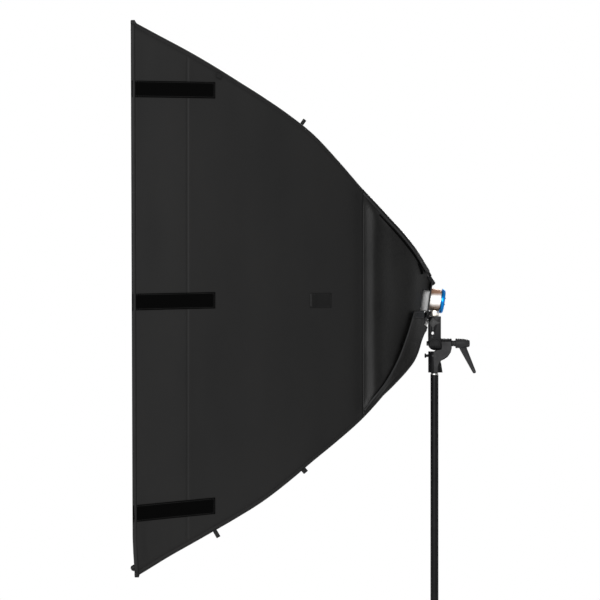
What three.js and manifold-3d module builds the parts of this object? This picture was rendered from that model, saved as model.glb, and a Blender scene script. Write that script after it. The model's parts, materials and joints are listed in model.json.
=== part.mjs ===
// A rectangular studio softbox on a lamp head, held by a tilting umbrella bracket on a folding light stand.
// Millimetres, +Z up. The origin is on the floor under the middle of the object. The box faces -X.

import * as THREE from 'three';
import { mergeVertices } from 'three/addons/utils/BufferGeometryUtils.js';
import Module from 'manifold-3d';

const wasm = await Module();
wasm.setup();

// ---- driving dimensions ----

const LAMP_HEIGHT = 1550;
const STAND_X = 224.23;

// The box. Depth is measured back from its open front. A line is a list of [depth, height] points.
const BOX_FRONT = -697;
const TOP_LINE = [[0, 606], [179, 511], [385, 386], [516, 253], [584, 184], [635, 130], [682, 63]];
const BOTTOM_LINE = [[0, 601], [179, 509], [296, 442], [400, 361], [516, 268], [590, 192], [640, 138], [676, 64]];
const WIDTH_RATIO = 0.75;
const FABRIC = 2;
const SEAM_GAP = 0.8;
const CREASE = 516;
const REAR_TOP = 682;
const REAR_SIDE = 676;
const DIFFUSER_DEPTH = 120;
const BAFFLE_DEPTH = 330;
const BAFFLE_SHARE = 0.88;
const ROD_RADIUS = 3.5;
const ROD_INSET = 11;
const ROD_PLAY = 0.5;
const POCKET_RADIUS = 6.5;
const BRACKET_NOTCH = 30;

// The lamp head leans back from vertical.
const HEAD_LEAN = THREE.MathUtils.degToRad(8);
const HOUSING_RADIUS = 27.5;
const REAR_RING_RADIUS = 30;
const RING_HALF = 27;
const RING_BORE = 19;
const PLATE_HALF_WIDTH = 37;
const PLATE_HALF_HEIGHT = 46;

// The bracket, measured from the lamp's axis, with its tilt pivot along X.
const PIVOT_DROP = 106;
const STUD_RADIUS = 8;
const BORE_PLAY = 0.3;
const RECEIVER_HALF = 14.8;
const RECEIVER_TOP = -40;
const WING_DROP = 53;
const UMBRELLA_X = -4.6;
const UMBRELLA_DROP = 81;
const UMBRELLA_RADIUS = 4;
const LOWER_SCREW_DROP = 136;
const BRACKET_BOTTOM = -177;
const SPIGOT_TOP = -130.3;

// The stand, measured from the floor.
const BASE_TUBE = { outer: 15, inner: 13.5, low: 45, high: 680 };
const MID_TUBE = { outer: 12.5, inner: 11, low: 115, high: 755 };
const TOP_TUBE = { outer: 9.75, inner: 8.25, low: 607, high: 1367 };
const LEG_ANGLE = THREE.MathUtils.degToRad(50);
const LEG_AZIMUTHS = [180, 60, -60];
const LEG_PIVOT = { reach: 34, height: 363.5 };
const LEG_HALF = 9;
const LEG_THICK = 13;
const FOOT_START = 532;
const FOOT_HALF = 12;
const FOOT_THICK = 19;
const BRACE_PLACE = 300;
const BRACE_HALF = 7;
const BRACE_THICK = 4;
const HUB_HEIGHT = 60;
const PIN_RADIUS = 3;
const TUBE_SIDES = 20;

// ---- shapes ----

// One closed mesh with shared corners and its faces pointing out.
function closed(geometry) {
  const bare = geometry.clone();
  bare.deleteAttribute('normal');
  bare.deleteAttribute('uv');
  const merged = mergeVertices(bare, 1e-3);
  const index = [];
  for (let i = 0; i < merged.index.count; i += 3) {
    const [a, b, c] = [0, 1, 2].map((k) => merged.index.getX(i + k));
    if (a !== b && b !== c && c !== a) index.push(a, b, c);
  }
  const corner = (k) => new THREE.Vector3().fromBufferAttribute(merged.attributes.position, k);
  let volume = 0;
  for (let i = 0; i < index.length; i += 3) {
    volume += corner(index[i]).dot(corner(index[i + 1]).cross(corner(index[i + 2])));
  }
  if (volume < 0) index.reverse();
  merged.setIndex(index);
  merged.computeVertexNormals();
  return merged;
}

function toSolid(geometry) {
  const mesh = closed(geometry);
  const vertProperties = new Float32Array(mesh.attributes.position.array);
  const triVerts = new Uint32Array(mesh.index.array);
  return new wasm.Manifold(new wasm.Mesh({ numProp: 3, vertProperties, triVerts }));
}

function toGeometry(solid) {
  const mesh = solid.getMesh();
  const geometry = new THREE.BufferGeometry();
  geometry.setAttribute('position', new THREE.BufferAttribute(mesh.vertProperties, 3));
  geometry.setIndex(new THREE.BufferAttribute(mesh.triVerts, 1));
  geometry.computeVertexNormals();
  return geometry;
}

function join(...pieces) {
  return toGeometry(pieces.map(toSolid).reduce((sum, piece) => sum.add(piece)));
}

function cut(body, ...tools) {
  return toGeometry(tools.map(toSolid).reduce((rest, tool) => rest.subtract(tool), toSolid(body)));
}

function shared(a, b) {
  return toGeometry(toSolid(a).intersect(toSolid(b)));
}

// A block from its lowest to its highest corner.
function block(low, high) {
  const size = high.map((value, k) => value - low[k]);
  const middle = high.map((value, k) => (value + low[k]) / 2);
  return new THREE.BoxGeometry(...size).translate(...middle);
}

function path(points) {
  return new THREE.Shape(points.map(([a, b]) => new THREE.Vector2(a, b)));
}

// A closed or axis-to-axis profile of [radius, height] points, turned about Z.
function turned(profile, sides) {
  const points = profile.map(([radius, height]) => new THREE.Vector2(radius, height));
  return closed(new THREE.LatheGeometry(points, sides).rotateX(Math.PI / 2));
}

function ring(inner, outer, low, high, sides = TUBE_SIDES) {
  return turned([[inner, low], [outer, low], [outer, high], [inner, high], [inner, low]], sides);
}

function disc(radius, low, high, sides = 16) {
  return turned([[0, low], [radius, low], [radius, high], [0, high]], sides);
}

// Turns a shape made along Z so that it lies along X, or along Y.
function alongX(geometry) {
  return geometry.rotateY(Math.PI / 2);
}

function alongY(geometry) {
  return geometry.rotateX(-Math.PI / 2);
}

// An outline of [x, z] points, thickened across Y between two places.
function sideways(outline, low, high) {
  const solid = new THREE.ExtrudeGeometry(path(outline), { depth: high - low, bevelEnabled: false, curveSegments: 8 });
  return solid.rotateX(Math.PI / 2).translate(0, high, 0);
}

// An outline of [y, z] points, thickened along X between two places.
function lengthways(outline, low, high) {
  const solid = new THREE.ExtrudeGeometry(path(outline), { depth: high - low, bevelEnabled: false, curveSegments: 8 });
  return solid.rotateX(Math.PI / 2).rotateZ(Math.PI / 2).translate(low, 0, 0);
}

// A round cup, bar or boss that starts at a point and runs along a direction.
function aimed(geometry, start, direction) {
  const turn = new THREE.Quaternion().setFromUnitVectors(new THREE.Vector3(0, 0, 1), direction.clone().normalize());
  return geometry.applyQuaternion(turn).translate(start.x, start.y, start.z);
}

// A solid through a row of four-cornered sections, each a list of four [x, y, z] corners.
function lofted(sections) {
  const positions = sections.flat(2);
  const index = [0, 1, 2, 0, 2, 3];
  for (let i = 0; i < sections.length - 1; i += 1) {
    for (let k = 0; k < 4; k += 1) {
      const a = 4 * i + k;
      const b = 4 * i + (k + 1) % 4;
      index.push(a, a + 4, b, b, a + 4, b + 4);
    }
  }
  const last = 4 * (sections.length - 1);
  index.push(last, last + 2, last + 1, last, last + 3, last + 2);
  const geometry = new THREE.BufferGeometry();
  geometry.setAttribute('position', new THREE.Float32BufferAttribute(positions, 3));
  geometry.setIndex(index);
  return closed(geometry);
}

function stepsBetween(low, high, count) {
  return Array.from({ length: count + 1 }, (_, i) => low + ((high - low) * i) / count);
}

// ---- the box's outline ----

function slopeAtPoint(line, i) {
  const before = line[Math.max(i - 1, 0)];
  const after = line[Math.min(i + 1, line.length - 1)];
  return (after[1] - before[1]) / (after[0] - before[0]);
}

// A smooth height through a line's points.
function heightOn(line, depth) {
  let i = 0;
  while (i < line.length - 2 && depth > line[i + 1][0]) i += 1;
  const [d0, h0] = line[i];
  const [d1, h1] = line[i + 1];
  const span = d1 - d0;
  const t = (depth - d0) / span;
  const keep = (1 + 2 * t) * (1 - t) ** 2;
  const bend = t * (1 - t) ** 2 * slopeAtPoint(line, i) + t * t * (t - 1) * slopeAtPoint(line, i + 1);
  return keep * h0 + (1 - keep) * h1 + span * bend;
}

const topAt = (depth) => heightOn(TOP_LINE, depth);
const bottomAt = (depth) => heightOn(BOTTOM_LINE, depth);
const widthAt = (depth) => (WIDTH_RATIO * (topAt(depth) + bottomAt(depth))) / 2;

// How much longer a step through the sloping wall is when it is measured straight up or sideways.
function stretch(line, depth) {
  return Math.hypot(1, (line(depth + 1) - line(depth - 1)) / 2);
}

// A side panel with upright rulings. side is 1 or -1.
function sideWall(side, depths) {
  return lofted(depths.map((depth) => {
    const x = BOX_FRONT + depth;
    const outer = side * widthAt(depth);
    const inner = outer - side * FABRIC * stretch(widthAt, depth);
    return [
      [x, outer, topAt(depth)],
      [x, outer, -bottomAt(depth)],
      [x, inner, -bottomAt(depth)],
      [x, inner, topAt(depth)],
    ];
  }));
}

// A top or bottom panel with level rulings, just outside the side panels' edges. up is 1 or -1.
function levelWall(up, depths) {
  const line = up > 0 ? topAt : bottomAt;
  return lofted(depths.map((depth) => {
    const x = BOX_FRONT + depth;
    const half = widthAt(depth);
    const low = up * (line(depth) + SEAM_GAP * stretch(line, depth));
    const high = low + up * FABRIC * stretch(line, depth);
    return [
      [x, -half, low],
      [x, half, low],
      [x, half, high],
      [x, -half, high],
    ];
  }));
}

// A flat sheet across the box with its corners cut off to clear the rods.
function crossSheet(depth, share, corner) {
  const half = widthAt(depth) * share;
  const high = topAt(depth) * share;
  const low = -bottomAt(depth) * share;
  const outline = [
    [half - corner, low], [half, low + corner], [half, high - corner], [half - corner, high],
    [corner - half, high], [-half, high - corner], [-half, low + corner], [corner - half, low],
  ];
  return lengthways(outline, BOX_FRONT + depth - FABRIC / 2, BOX_FRONT + depth + FABRIC / 2);
}

// ---- the object ----

const object = new THREE.Group();
const stand = new THREE.Group();
stand.position.set(STAND_X, 0, 0);
object.add(stand);
const lamp = new THREE.Group();
lamp.position.set(STAND_X, 0, LAMP_HEIGHT);
object.add(lamp);

function add(group, name, geometry, colour, roughness, metalness) {
  const mesh = new THREE.Mesh(closed(geometry), new THREE.MeshStandardMaterial({ color: colour, roughness, metalness }));
  mesh.name = name;
  group.add(mesh);
  return mesh;
}

const NYLON = [0x232323, 0.85, 0];
const WHITE_CLOTH = [0xf0f0ee, 0.9, 0];
const BLACK_CASTING = [0x2b2b2b, 0.6, 0.3];
const BLACK_TUBE = [0x101010, 0.35, 0.4];
const RAW_ALUMINIUM = [0x9a9a9a, 0.4, 0.9];
const STEEL = [0xc4c4c4, 0.25, 1];
const BLUE_ALUMINIUM = [0x1482c8, 0.35, 0.8];
const BLACK_PLASTIC = [0x161616, 0.5, 0];
const BLACK_RUBBER = [0x1a1a1a, 0.8, 0];
const FIBREGLASS = [0x2a2a2a, 0.5, 0];
const CERAMIC = [0xf2efe8, 0.4, 0];
const FROSTED_GLASS = [0xf6f6f2, 0.3, 0];

// ---- the box: fabric ----

const JOINT_GAP = 0.4;
const frontDepths = stepsBetween(0, CREASE - JOINT_GAP, 9);
const rearSideDepths = stepsBetween(CREASE + JOINT_GAP, REAR_SIDE, 5);
const rearTopDepths = stepsBetween(CREASE + JOINT_GAP, REAR_TOP, 5);

add(lamp, 'front_panel_top', levelWall(1, frontDepths), ...NYLON);
add(lamp, 'front_panel_bottom', levelWall(-1, frontDepths), ...NYLON);
add(lamp, 'rear_flap_top', levelWall(1, rearTopDepths), ...NYLON);
for (const [name, side] of [['left', 1], ['right', -1]]) {
  add(lamp, `front_panel_${name}`, sideWall(side, frontDepths), ...NYLON);
  const ringWindow = block([-38, -200, -30], [0, 200, 26]);
  add(lamp, `rear_flap_${name}`, cut(sideWall(side, rearSideDepths), ringWindow), ...NYLON);
}
const bracketNotch = block([-36, -BRACKET_NOTCH, -200], [0, BRACKET_NOTCH, 0]);
add(lamp, 'rear_flap_bottom', cut(levelWall(-1, rearSideDepths), bracketNotch), ...NYLON);

add(lamp, 'front_diffuser', crossSheet(DIFFUSER_DEPTH, 0.985, 34), ...WHITE_CLOTH);
add(lamp, 'inner_baffle', crossSheet(BAFFLE_DEPTH, BAFFLE_SHARE, 60), ...WHITE_CLOTH);

// ---- the box: rods, their front pockets and the plate that holds them ----

// A point on a corner rod, an even distance inside both walls.
function rodPoint(depth, side, up) {
  const line = up > 0 ? topAt : bottomAt;
  return new THREE.Vector3(
    BOX_FRONT + depth,
    side * (widthAt(depth) - ROD_INSET * stretch(widthAt, depth)),
    up * (line(depth) - ROD_INSET * stretch(line, depth)),
  );
}

const ROD_DEPTHS = [6, 90, 179, 270, 360, 440, 510, 570, 610, 640];
const ROD_STEPS = 14;
// Where each rod ends, the points that it bends through on the way there, and its socket on the plate.
const ROD_ENDS = {
  1: { bends: [], tip: [-8, 27, 43], socketLength: 26, socketRadius: 6.8 },
  [-1]: { bends: [[-41, 52, -64]], tip: [-17, 29, -34], socketLength: 18, socketRadius: 5.8 },
};
const POCKET_LENGTH = 28;
const CORNERS = [['top_left', 1, 1], ['top_right', -1, 1], ['bottom_left', 1, -1], ['bottom_right', -1, -1]];

const plateSockets = [];
const plateBores = [];
for (const [name, side, up] of CORNERS) {
  const points = ROD_DEPTHS.map((depth) => rodPoint(depth, side, up));
  const end = ROD_ENDS[up];
  for (const [x, y, z] of [...end.bends, end.tip]) points.push(new THREE.Vector3(x, side * y, z));
  const tip = points[points.length - 1];
  const line = new THREE.CatmullRomCurve3(points, false, 'centripetal');
  const section = new THREE.Shape().absarc(0, 0, ROD_RADIUS, 0, 2 * Math.PI);
  const rod = new THREE.ExtrudeGeometry(
    section,
    { extrudePath: line, steps: ROD_STEPS, curveSegments: 4, bevelEnabled: false },
  );
  add(lamp, `rod_${name}`, rod, ...FIBREGLASS);

  const outwards = line.getTangentAt(0).negate();
  const pocketStart = points[0].clone().addScaledVector(outwards, -POCKET_LENGTH + 8);
  const inside = ROD_RADIUS + ROD_PLAY;
  const cup = [
    [inside, 0], [POCKET_RADIUS, 0], [POCKET_RADIUS, POCKET_LENGTH - 3], [POCKET_RADIUS - 3, POCKET_LENGTH],
    [0, POCKET_LENGTH], [0, POCKET_LENGTH - 6], [inside, POCKET_LENGTH - 6], [inside, 0],
  ];
  add(lamp, `corner_pocket_${name}`, aimed(turned(cup, 12), pocketStart, outwards), ...BLACK_PLASTIC);

  const inwards = tip.clone().sub(line.getPointAt(1 - 1 / ROD_STEPS)).normalize();
  const socketStart = tip.clone().addScaledVector(inwards, -end.socketLength + 5);
  plateSockets.push(aimed(disc(end.socketRadius, 0, end.socketLength, 10), socketStart, inwards));
  plateBores.push(aimed(disc(inside + 0.1, -1, end.socketLength - 4, 10), socketStart, inwards));
}

// ---- the lamp head, made upright and then leant back ----

function lean(geometry) {
  return geometry.rotateY(HEAD_LEAN);
}

const plate = cut(
  block([-15.6, -PLATE_HALF_WIDTH, -PLATE_HALF_HEIGHT], [-12.6, PLATE_HALF_WIDTH, PLATE_HALF_HEIGHT]),
  block([-20, -24, -60], [-5, 24, -37]),
  alongX(disc(RING_BORE, -20, -5, 20)),
);
add(lamp, 'speed_ring_plate', cut(join(lean(plate), ...plateSockets), ...plateBores), ...BLACK_CASTING);

const ringBlock = cut(
  block([-35, -RING_HALF, -RING_HALF], [-15.9, RING_HALF, RING_HALF]),
  alongX(disc(RING_BORE, -40, -10, 20)),
);
add(lamp, 'speed_ring', lean(ringBlock), ...RAW_ALUMINIUM);

const FIN_ROOT = HOUSING_RADIUS - 3;
const housingProfile = [[0, -12.3]];
for (const start of [-12.3, -4.5, 3.3]) {
  housingProfile.push([HOUSING_RADIUS, start], [HOUSING_RADIUS, start + 3], [FIN_ROOT, start + 3.4], [FIN_ROOT, start + 7.4]);
}
housingProfile.push([FIN_ROOT, 13.7], [0, 13.7]);
add(lamp, 'lamp_housing', lean(alongX(turned(housingProfile, 20))), ...RAW_ALUMINIUM);

const capProfile = [[0, 14], [28, 14], [REAR_RING_RADIUS, 15.5], [REAR_RING_RADIUS, 21], [28, 23.4], [20, 23.4], [18, 22], [0, 22]];
add(lamp, 'rear_ring', lean(alongX(turned(capProfile, 24))), ...BLUE_ALUMINIUM);

for (const [name, height] of [['upper', 7.5], ['lower', -7.5]]) {
  const button = turned([[0, 22.3], [3, 22.3], [3, 24], [1.6, 24], [1.6, 26.6], [0, 26.6]], 10);
  add(lamp, `rear_screw_${name}`, lean(alongX(button).translate(0, 0, height)), ...STEEL);
}

const housingSpace = lean(alongX(disc(HOUSING_RADIUS + 0.4, -12.6, 13.9, 20)));
const ringSpace = lean(alongX(disc(REAR_RING_RADIUS + 0.4, 13.6, 24, 24)));
const plateSpace = lean(block([-16, -40, -60], [-12.3, 40, 60]));
const studProfile = [[0, -20], [11, -20], [11, -39.5], [STUD_RADIUS, -39.5], [STUD_RADIUS, -72], [6.5, -73.5], [0, -73.5]];
add(lamp, 'mount_stud', cut(turned(studProfile, 20), housingSpace, ringSpace, plateSpace), ...STEEL);

const socketProfile = [[0, -12.7], [16, -12.7], [16, -34], [18.5, -36], [18.5, -48], [13, -48], [13, -38], [0, -38]];
add(lamp, 'lamp_socket', lean(alongX(turned(socketProfile, 18))), ...CERAMIC);
const bulbProfile = [[0, -38.5], [12.5, -38.5], [12.5, -52], [26, -78], [31, -98], [26, -120], [14, -132], [0, -135]];
add(lamp, 'lamp_bulb', lean(alongX(turned(bulbProfile, 16))), ...FROSTED_GLASS);

// ---- the umbrella bracket ----

// The receiver's lower end is round both ways, so that it clears the casting under it as it tilts.
function roundEnded(half, bottomRadius, centre) {
  const outline = [[-half, RECEIVER_TOP], [-half, centre]];
  const start = Math.acos(Math.min(1, half / bottomRadius));
  for (const angle of stepsBetween(Math.PI + start, 2 * Math.PI - start, 12)) {
    outline.push([bottomRadius * Math.cos(angle), centre + bottomRadius * Math.sin(angle)]);
  }
  outline.push([half, centre], [half, RECEIVER_TOP]);
  return outline;
}

const receiverBody = shared(
  join(
    sideways(roundEnded(RECEIVER_HALF, RECEIVER_HALF, -PIVOT_DROP - 2), -14, 14),
    block([0, -14, -122.5], [RECEIVER_HALF, 14, -PIVOT_DROP - 2]),
  ),
  lengthways(roundEnded(14, 16.8, -PIVOT_DROP), -RECEIVER_HALF, RECEIVER_HALF),
);
const boltBore = alongX(disc(4.3, -30, 60, 12)).translate(0, 0, -PIVOT_DROP);
const receiver = cut(
  receiverBody,
  disc(STUD_RADIUS + BORE_PLAY, -74.5, 0, 20),
  boltBore,
  alongY(disc(UMBRELLA_RADIUS, -20, 20, 12)).translate(UMBRELLA_X, 0, -UMBRELLA_DROP),
  alongX(disc(3.3, -20, -4, 10)).translate(0, 0, -WING_DROP),
);
add(lamp, 'bracket_receiver', receiver, ...BLACK_CASTING);

const gooseneck = sideways([
  [15.3, -94.6], [41.5, -94.6], [41.5, -118], [38.9, -128.2], [32, -138.5], [23.4, -144.5], [16, -148],
  [13, -152], [-8, -152], [-12, -125.6], [1, -125.6], [11.4, -124.2], [15.3, -123.3],
], -9, 9);
const foot = sideways([[8, BRACKET_BOTTOM], [19.4, BRACKET_BOTTOM], [15.6, -152.5], [8, -152.5]], -7, 7);
const casting = cut(
  join(
    gooseneck,
    alongX(disc(12.5, 15.3, 41.5, 20)).translate(0, 0, -PIVOT_DROP - 0.5),
    turned([[0, BRACKET_BOTTOM], [15.3, BRACKET_BOTTOM], [15.3, -125.6], [0, -125.6]], 24),
    foot,
  ),
  disc(STUD_RADIUS + BORE_PLAY, -190, SPIGOT_TOP + 0.8, 20),
  boltBore,
  alongX(disc(2.8, -20, -4, 10)).translate(0, 0, -LOWER_SCREW_DROP),
);
add(lamp, 'bracket_casting', casting, ...BLACK_CASTING);

const boltHead = alongX(disc(6.5, -19.2, -15.1, 6)).translate(0, 0, -PIVOT_DROP);
const boltShank = alongX(disc(4, -16, 57, 12)).translate(0, 0, -PIVOT_DROP);
add(lamp, 'pivot_bolt', join(boltHead, boltShank), ...STEEL);

const leverHub = alongX(turned([
  [0, 42], [7.3, 42], [7.3, 52], [11.6, 52], [11.6, 57], [10, 60], [9.6, 80], [7, 86], [0, 86],
], 16)).translate(0, 0, -PIVOT_DROP);
const leverArm = sideways([[60, -112], [78, -112], [103.4, -176.3], [101, -179.6], [96, -179.6]], -4.5, 4.5);
const leverBore = alongX(disc(4.3, 40, 58, 12)).translate(0, 0, -PIVOT_DROP);
add(lamp, 'clamp_lever', cut(join(leverHub, leverArm), leverBore), ...BLACK_PLASTIC);

function wingScrew(stemRadius, stemEnd, wingNear, wingFar, wingHalf, wingThick) {
  const stem = alongX(disc(stemRadius, wingNear - 1, stemEnd, 10));
  const wing = block([wingFar, -wingThick, -wingHalf], [wingNear, wingThick, wingHalf]);
  return join(stem, wing);
}
add(lamp, 'upper_wing_screw', wingScrew(3, -8.4, -16.5, -25.8, 12, 3).translate(0, 0, -WING_DROP), ...STEEL);
const thumbHead = alongX(turned([[0, -23.5], [4.3, -23.5], [4.3, -18], [2.5, -17.5], [2.5, -8.4], [0, -8.4]], 10));
add(lamp, 'lower_thumb_screw', thumbHead.translate(0, 0, -LOWER_SCREW_DROP), ...BLACK_CASTING);

// ---- the stand's column ----

function tube(name, { outer, inner, low, high }) {
  add(stand, name, ring(inner, outer, low, high), ...BLACK_TUBE);
}
tube('base_tube', BASE_TUBE);
tube('mid_tube', MID_TUBE);
tube('top_tube', TOP_TUBE);

const topEnd = TOP_TUBE.high;
const spigotTop = LAMP_HEIGHT + SPIGOT_TOP;
add(stand, 'top_spigot', turned([
  [0, topEnd - 37], [7.9, topEnd - 37], [7.9, topEnd + 0.3], [9.7, topEnd + 0.3], [9.7, topEnd + 1.5],
  [STUD_RADIUS, topEnd + 5], [STUD_RADIUS, spigotTop - 1.5], [6.5, spigotTop], [0, spigotTop],
], 20), ...STEEL);

// A clamp collar sits on the outer tube's end and closes round the inner tube.
function clampCollar(name, outerTube, innerTube, low, high, radius) {
  const step = outerTube.high + 0.3;
  const wide = outerTube.outer + BORE_PLAY;
  const narrow = innerTube.outer + BORE_PLAY;
  const collar = turned([
    [wide, low], [radius, low], [radius, high - 3], [radius - 3, high], [narrow, high], [narrow, step], [wide, step], [wide, low],
  ], TUBE_SIDES);
  const knobHeight = (step + high) / 2;
  const lug = block([radius - 4, -8, knobHeight - 8], [radius + 6, 8, knobHeight + 8]);
  const hole = alongX(disc(3.3, narrow - 3, radius + 10, 10)).translate(0, 0, knobHeight);
  add(stand, `${name}_collar`, cut(join(collar, lug), hole), ...BLACK_PLASTIC);
  knob(name, narrow + 0.1, radius + 6, knobHeight);
}

function knob(name, stemEnd, faceAt, height) {
  const profile = [
    [0, stemEnd], [3, stemEnd], [3, faceAt + 1.5], [8, faceAt + 1.5], [8, faceAt + 5],
    [16, faceAt + 7], [16, faceAt + 17], [12, faceAt + 20], [0, faceAt + 20],
  ];
  add(stand, `${name}_knob`, alongX(turned(profile, 12)).translate(0, 0, height), ...BLACK_PLASTIC);
}

clampCollar('base', BASE_TUBE, MID_TUBE, 665, 715, 20);
clampCollar('mid', MID_TUBE, TOP_TUBE, 730, 775, 17);

// ---- the stand's folding legs ----

// Two ears on each leg's line, on the sides of a slot. low and high are the slot's sides across the leg.
function ears(azimuth, low, high, thick, nearReach, farReach, bottom, top) {
  return [[low - thick, low], [high, high + thick]].map(([from, to]) => (
    block([nearReach, from, bottom], [farReach, to, top]).rotateZ(THREE.MathUtils.degToRad(azimuth))
  ));
}

const collarEars = LEG_AZIMUTHS.flatMap((azimuth) => ears(azimuth, -7, 7, 3.5, 15, 42, 352, 376));
const collarPins = LEG_AZIMUTHS.map((azimuth) => (
  alongY(disc(PIN_RADIUS, -10, 10, 10))
    .translate(LEG_PIVOT.reach, 0, LEG_PIVOT.height)
    .rotateZ(THREE.MathUtils.degToRad(azimuth))
));
const collarLug = block([18, -8, LEG_PIVOT.height - 8], [28, 8, LEG_PIVOT.height + 8]);
const legCollar = cut(
  join(ring(0, 22, 345, 388), ...collarEars, ...collarPins, collarLug),
  disc(BASE_TUBE.outer + 0.4, 300, 420, TUBE_SIDES),
  alongX(disc(3.3, 10, 40, 10)).translate(0, 0, LEG_PIVOT.height),
);
add(stand, 'leg_collar', legCollar, ...BLACK_PLASTIC);
knob('leg', BASE_TUBE.outer + 0.6, 28, LEG_PIVOT.height);

const BRACE_SIDE = LEG_THICK / 2 + 0.5;
const hubEars = LEG_AZIMUTHS.flatMap((azimuth) => (
  ears(azimuth, BRACE_SIDE - 0.7, BRACE_SIDE + BRACE_THICK + 0.7, 3, 12, 44, 48, 72)
));
const hub = cut(
  join(ring(0, 18.5, 46, 74), ...hubEars),
  disc(BASE_TUBE.outer + BORE_PLAY, 0, 100, TUBE_SIDES),
);
add(stand, 'brace_hub', hub, ...BLACK_PLASTIC);

// A flat bar with round ends between two points of [reach, height], thickened across the leg.
function bar(from, to, half, low, high) {
  const angle = Math.atan2(to[1] - from[1], to[0] - from[0]);
  const shape = new THREE.Shape();
  shape.absarc(...from, half, angle + Math.PI / 2, angle + 1.5 * Math.PI);
  shape.absarc(...to, half, angle - Math.PI / 2, angle + Math.PI / 2);
  const outline = shape.getPoints(5).map((point) => [point.x, point.y]);
  return sideways(outline, low, high);
}

function along(distance) {
  return [
    LEG_PIVOT.reach + distance * Math.sin(LEG_ANGLE),
    LEG_PIVOT.height - distance * Math.cos(LEG_ANGLE),
  ];
}

const footTop = along(FOOT_START);
const [legX, legZ] = [Math.sin(LEG_ANGLE), -Math.cos(LEG_ANGLE)];
const brace = { top: along(BRACE_PLACE), bottom: [LEG_PIVOT.reach, HUB_HEIGHT] };
LEG_AZIMUTHS.forEach((azimuth, i) => {
  const turn = THREE.MathUtils.degToRad(azimuth);
  const rivet = alongY(disc(PIN_RADIUS, 0, BRACE_SIDE + BRACE_THICK + 3, 10)).translate(brace.top[0], 0, brace.top[1]);
  const leg = cut(
    join(bar(along(0), along(FOOT_START - LEG_HALF - 0.5), LEG_HALF, -LEG_THICK / 2, LEG_THICK / 2), rivet),
    alongY(disc(PIN_RADIUS + 0.4, -20, 20, 10)).translate(LEG_PIVOT.reach, 0, LEG_PIVOT.height),
  );
  add(stand, `leg_${i + 1}`, leg.rotateZ(turn), ...BLACK_TUBE);

  const footCorner = (across) => [footTop[0] - across * legZ, footTop[1] + across * legX];
  const onFloor = ([x, z]) => [x - (legX / legZ) * z, 0];
  const high = footCorner(FOOT_HALF);
  const low = footCorner(-FOOT_HALF);
  const foot = sideways([low, onFloor(low), onFloor(high), high], -FOOT_THICK / 2, FOOT_THICK / 2);
  add(stand, `foot_${i + 1}`, foot.rotateZ(turn), ...BLACK_RUBBER);

  const strip = cut(
    bar(brace.top, brace.bottom, BRACE_HALF, BRACE_SIDE, BRACE_SIDE + BRACE_THICK),
    alongY(disc(PIN_RADIUS + 0.4, 0, 20, 10)).translate(brace.top[0], 0, brace.top[1]),
  );
  add(stand, `brace_${i + 1}`, strip.rotateZ(turn), ...BLACK_TUBE);
});

export default object;
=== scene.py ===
"""A studio softbox on a light stand: the looks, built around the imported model."""
import json
import math

import bmesh
import bpy
import numpy as np
from mathutils import Matrix, Vector, noise


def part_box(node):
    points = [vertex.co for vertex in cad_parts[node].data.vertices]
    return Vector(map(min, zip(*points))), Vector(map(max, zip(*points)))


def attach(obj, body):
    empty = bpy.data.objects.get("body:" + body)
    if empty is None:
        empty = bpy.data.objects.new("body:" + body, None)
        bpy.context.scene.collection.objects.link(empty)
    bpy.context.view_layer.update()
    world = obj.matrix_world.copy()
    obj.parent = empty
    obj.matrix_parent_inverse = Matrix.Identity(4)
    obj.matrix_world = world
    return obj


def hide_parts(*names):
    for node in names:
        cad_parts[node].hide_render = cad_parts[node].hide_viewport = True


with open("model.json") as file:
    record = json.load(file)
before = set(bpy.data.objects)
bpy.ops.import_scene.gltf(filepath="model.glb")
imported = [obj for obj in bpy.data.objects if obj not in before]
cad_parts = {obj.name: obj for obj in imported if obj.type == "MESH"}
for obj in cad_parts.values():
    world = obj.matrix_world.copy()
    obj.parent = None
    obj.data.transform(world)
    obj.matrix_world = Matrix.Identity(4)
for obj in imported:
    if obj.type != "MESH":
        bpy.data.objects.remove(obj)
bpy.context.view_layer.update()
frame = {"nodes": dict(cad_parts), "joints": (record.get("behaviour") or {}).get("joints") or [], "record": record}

scene = bpy.context.scene
MM = 0.001
JOINTS = {j["name"]: j for j in frame["joints"]}

# ---- places read from the frame ----

tube_low, tube_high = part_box("top_tube")
AXIS_X = (tube_low.x + tube_high.x) / 2
PIVOT_DROP = 106 * MM
PIVOT_Z = JOINTS["tilt"]["pos_m"][2]
LAMP_Z = PIVOT_Z + PIVOT_DROP
HEAD_LEAN = math.radians(8)


def corners(node):
    """A CAD node's corner points, as rows of x, y and z."""
    return np.array([v.co for v in frame["nodes"][node].data.vertices], float)


def stations(nodes, pick):
    """One value of the nodes' outline at each depth: rows of x and pick(points there)."""
    points = np.vstack([corners(n) for n in nodes])
    xs = np.unique(points[:, 0].round(5))
    rows = [(x, pick(points[abs(points[:, 0] - x) < 2e-5])) for x in xs]
    return np.array(rows)


def smooth_between(marks, values, slopes, at):
    """The value at a place on the smooth curve with these values and slopes at the marks."""
    i = int(np.clip(np.searchsorted(marks, at) - 1, 0, len(marks) - 2))
    span = marks[i + 1] - marks[i]
    t = (at - marks[i]) / span
    near = (1 + 2 * t) * (1 - t) ** 2
    bend = t * (1 - t) ** 2 * slopes[i] + t * t * (t - 1) * slopes[i + 1]
    return near * values[i] + (1 - near) * values[i + 1] + span * bend


class Line:
    """A smooth curve through rows of x and height."""

    def __init__(self, rows):
        keep = np.concatenate([[True], np.diff(rows[:, 0]) > 4 * MM])
        self.x, self.y = rows[keep].T
        self.slope = np.gradient(self.y, self.x)

    def __call__(self, x):
        if x > self.x[-1]:
            return self.y[-1] + (x - self.x[-1]) * self.slope[-1]
        return smooth_between(self.x, self.y, self.slope, x)


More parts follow.
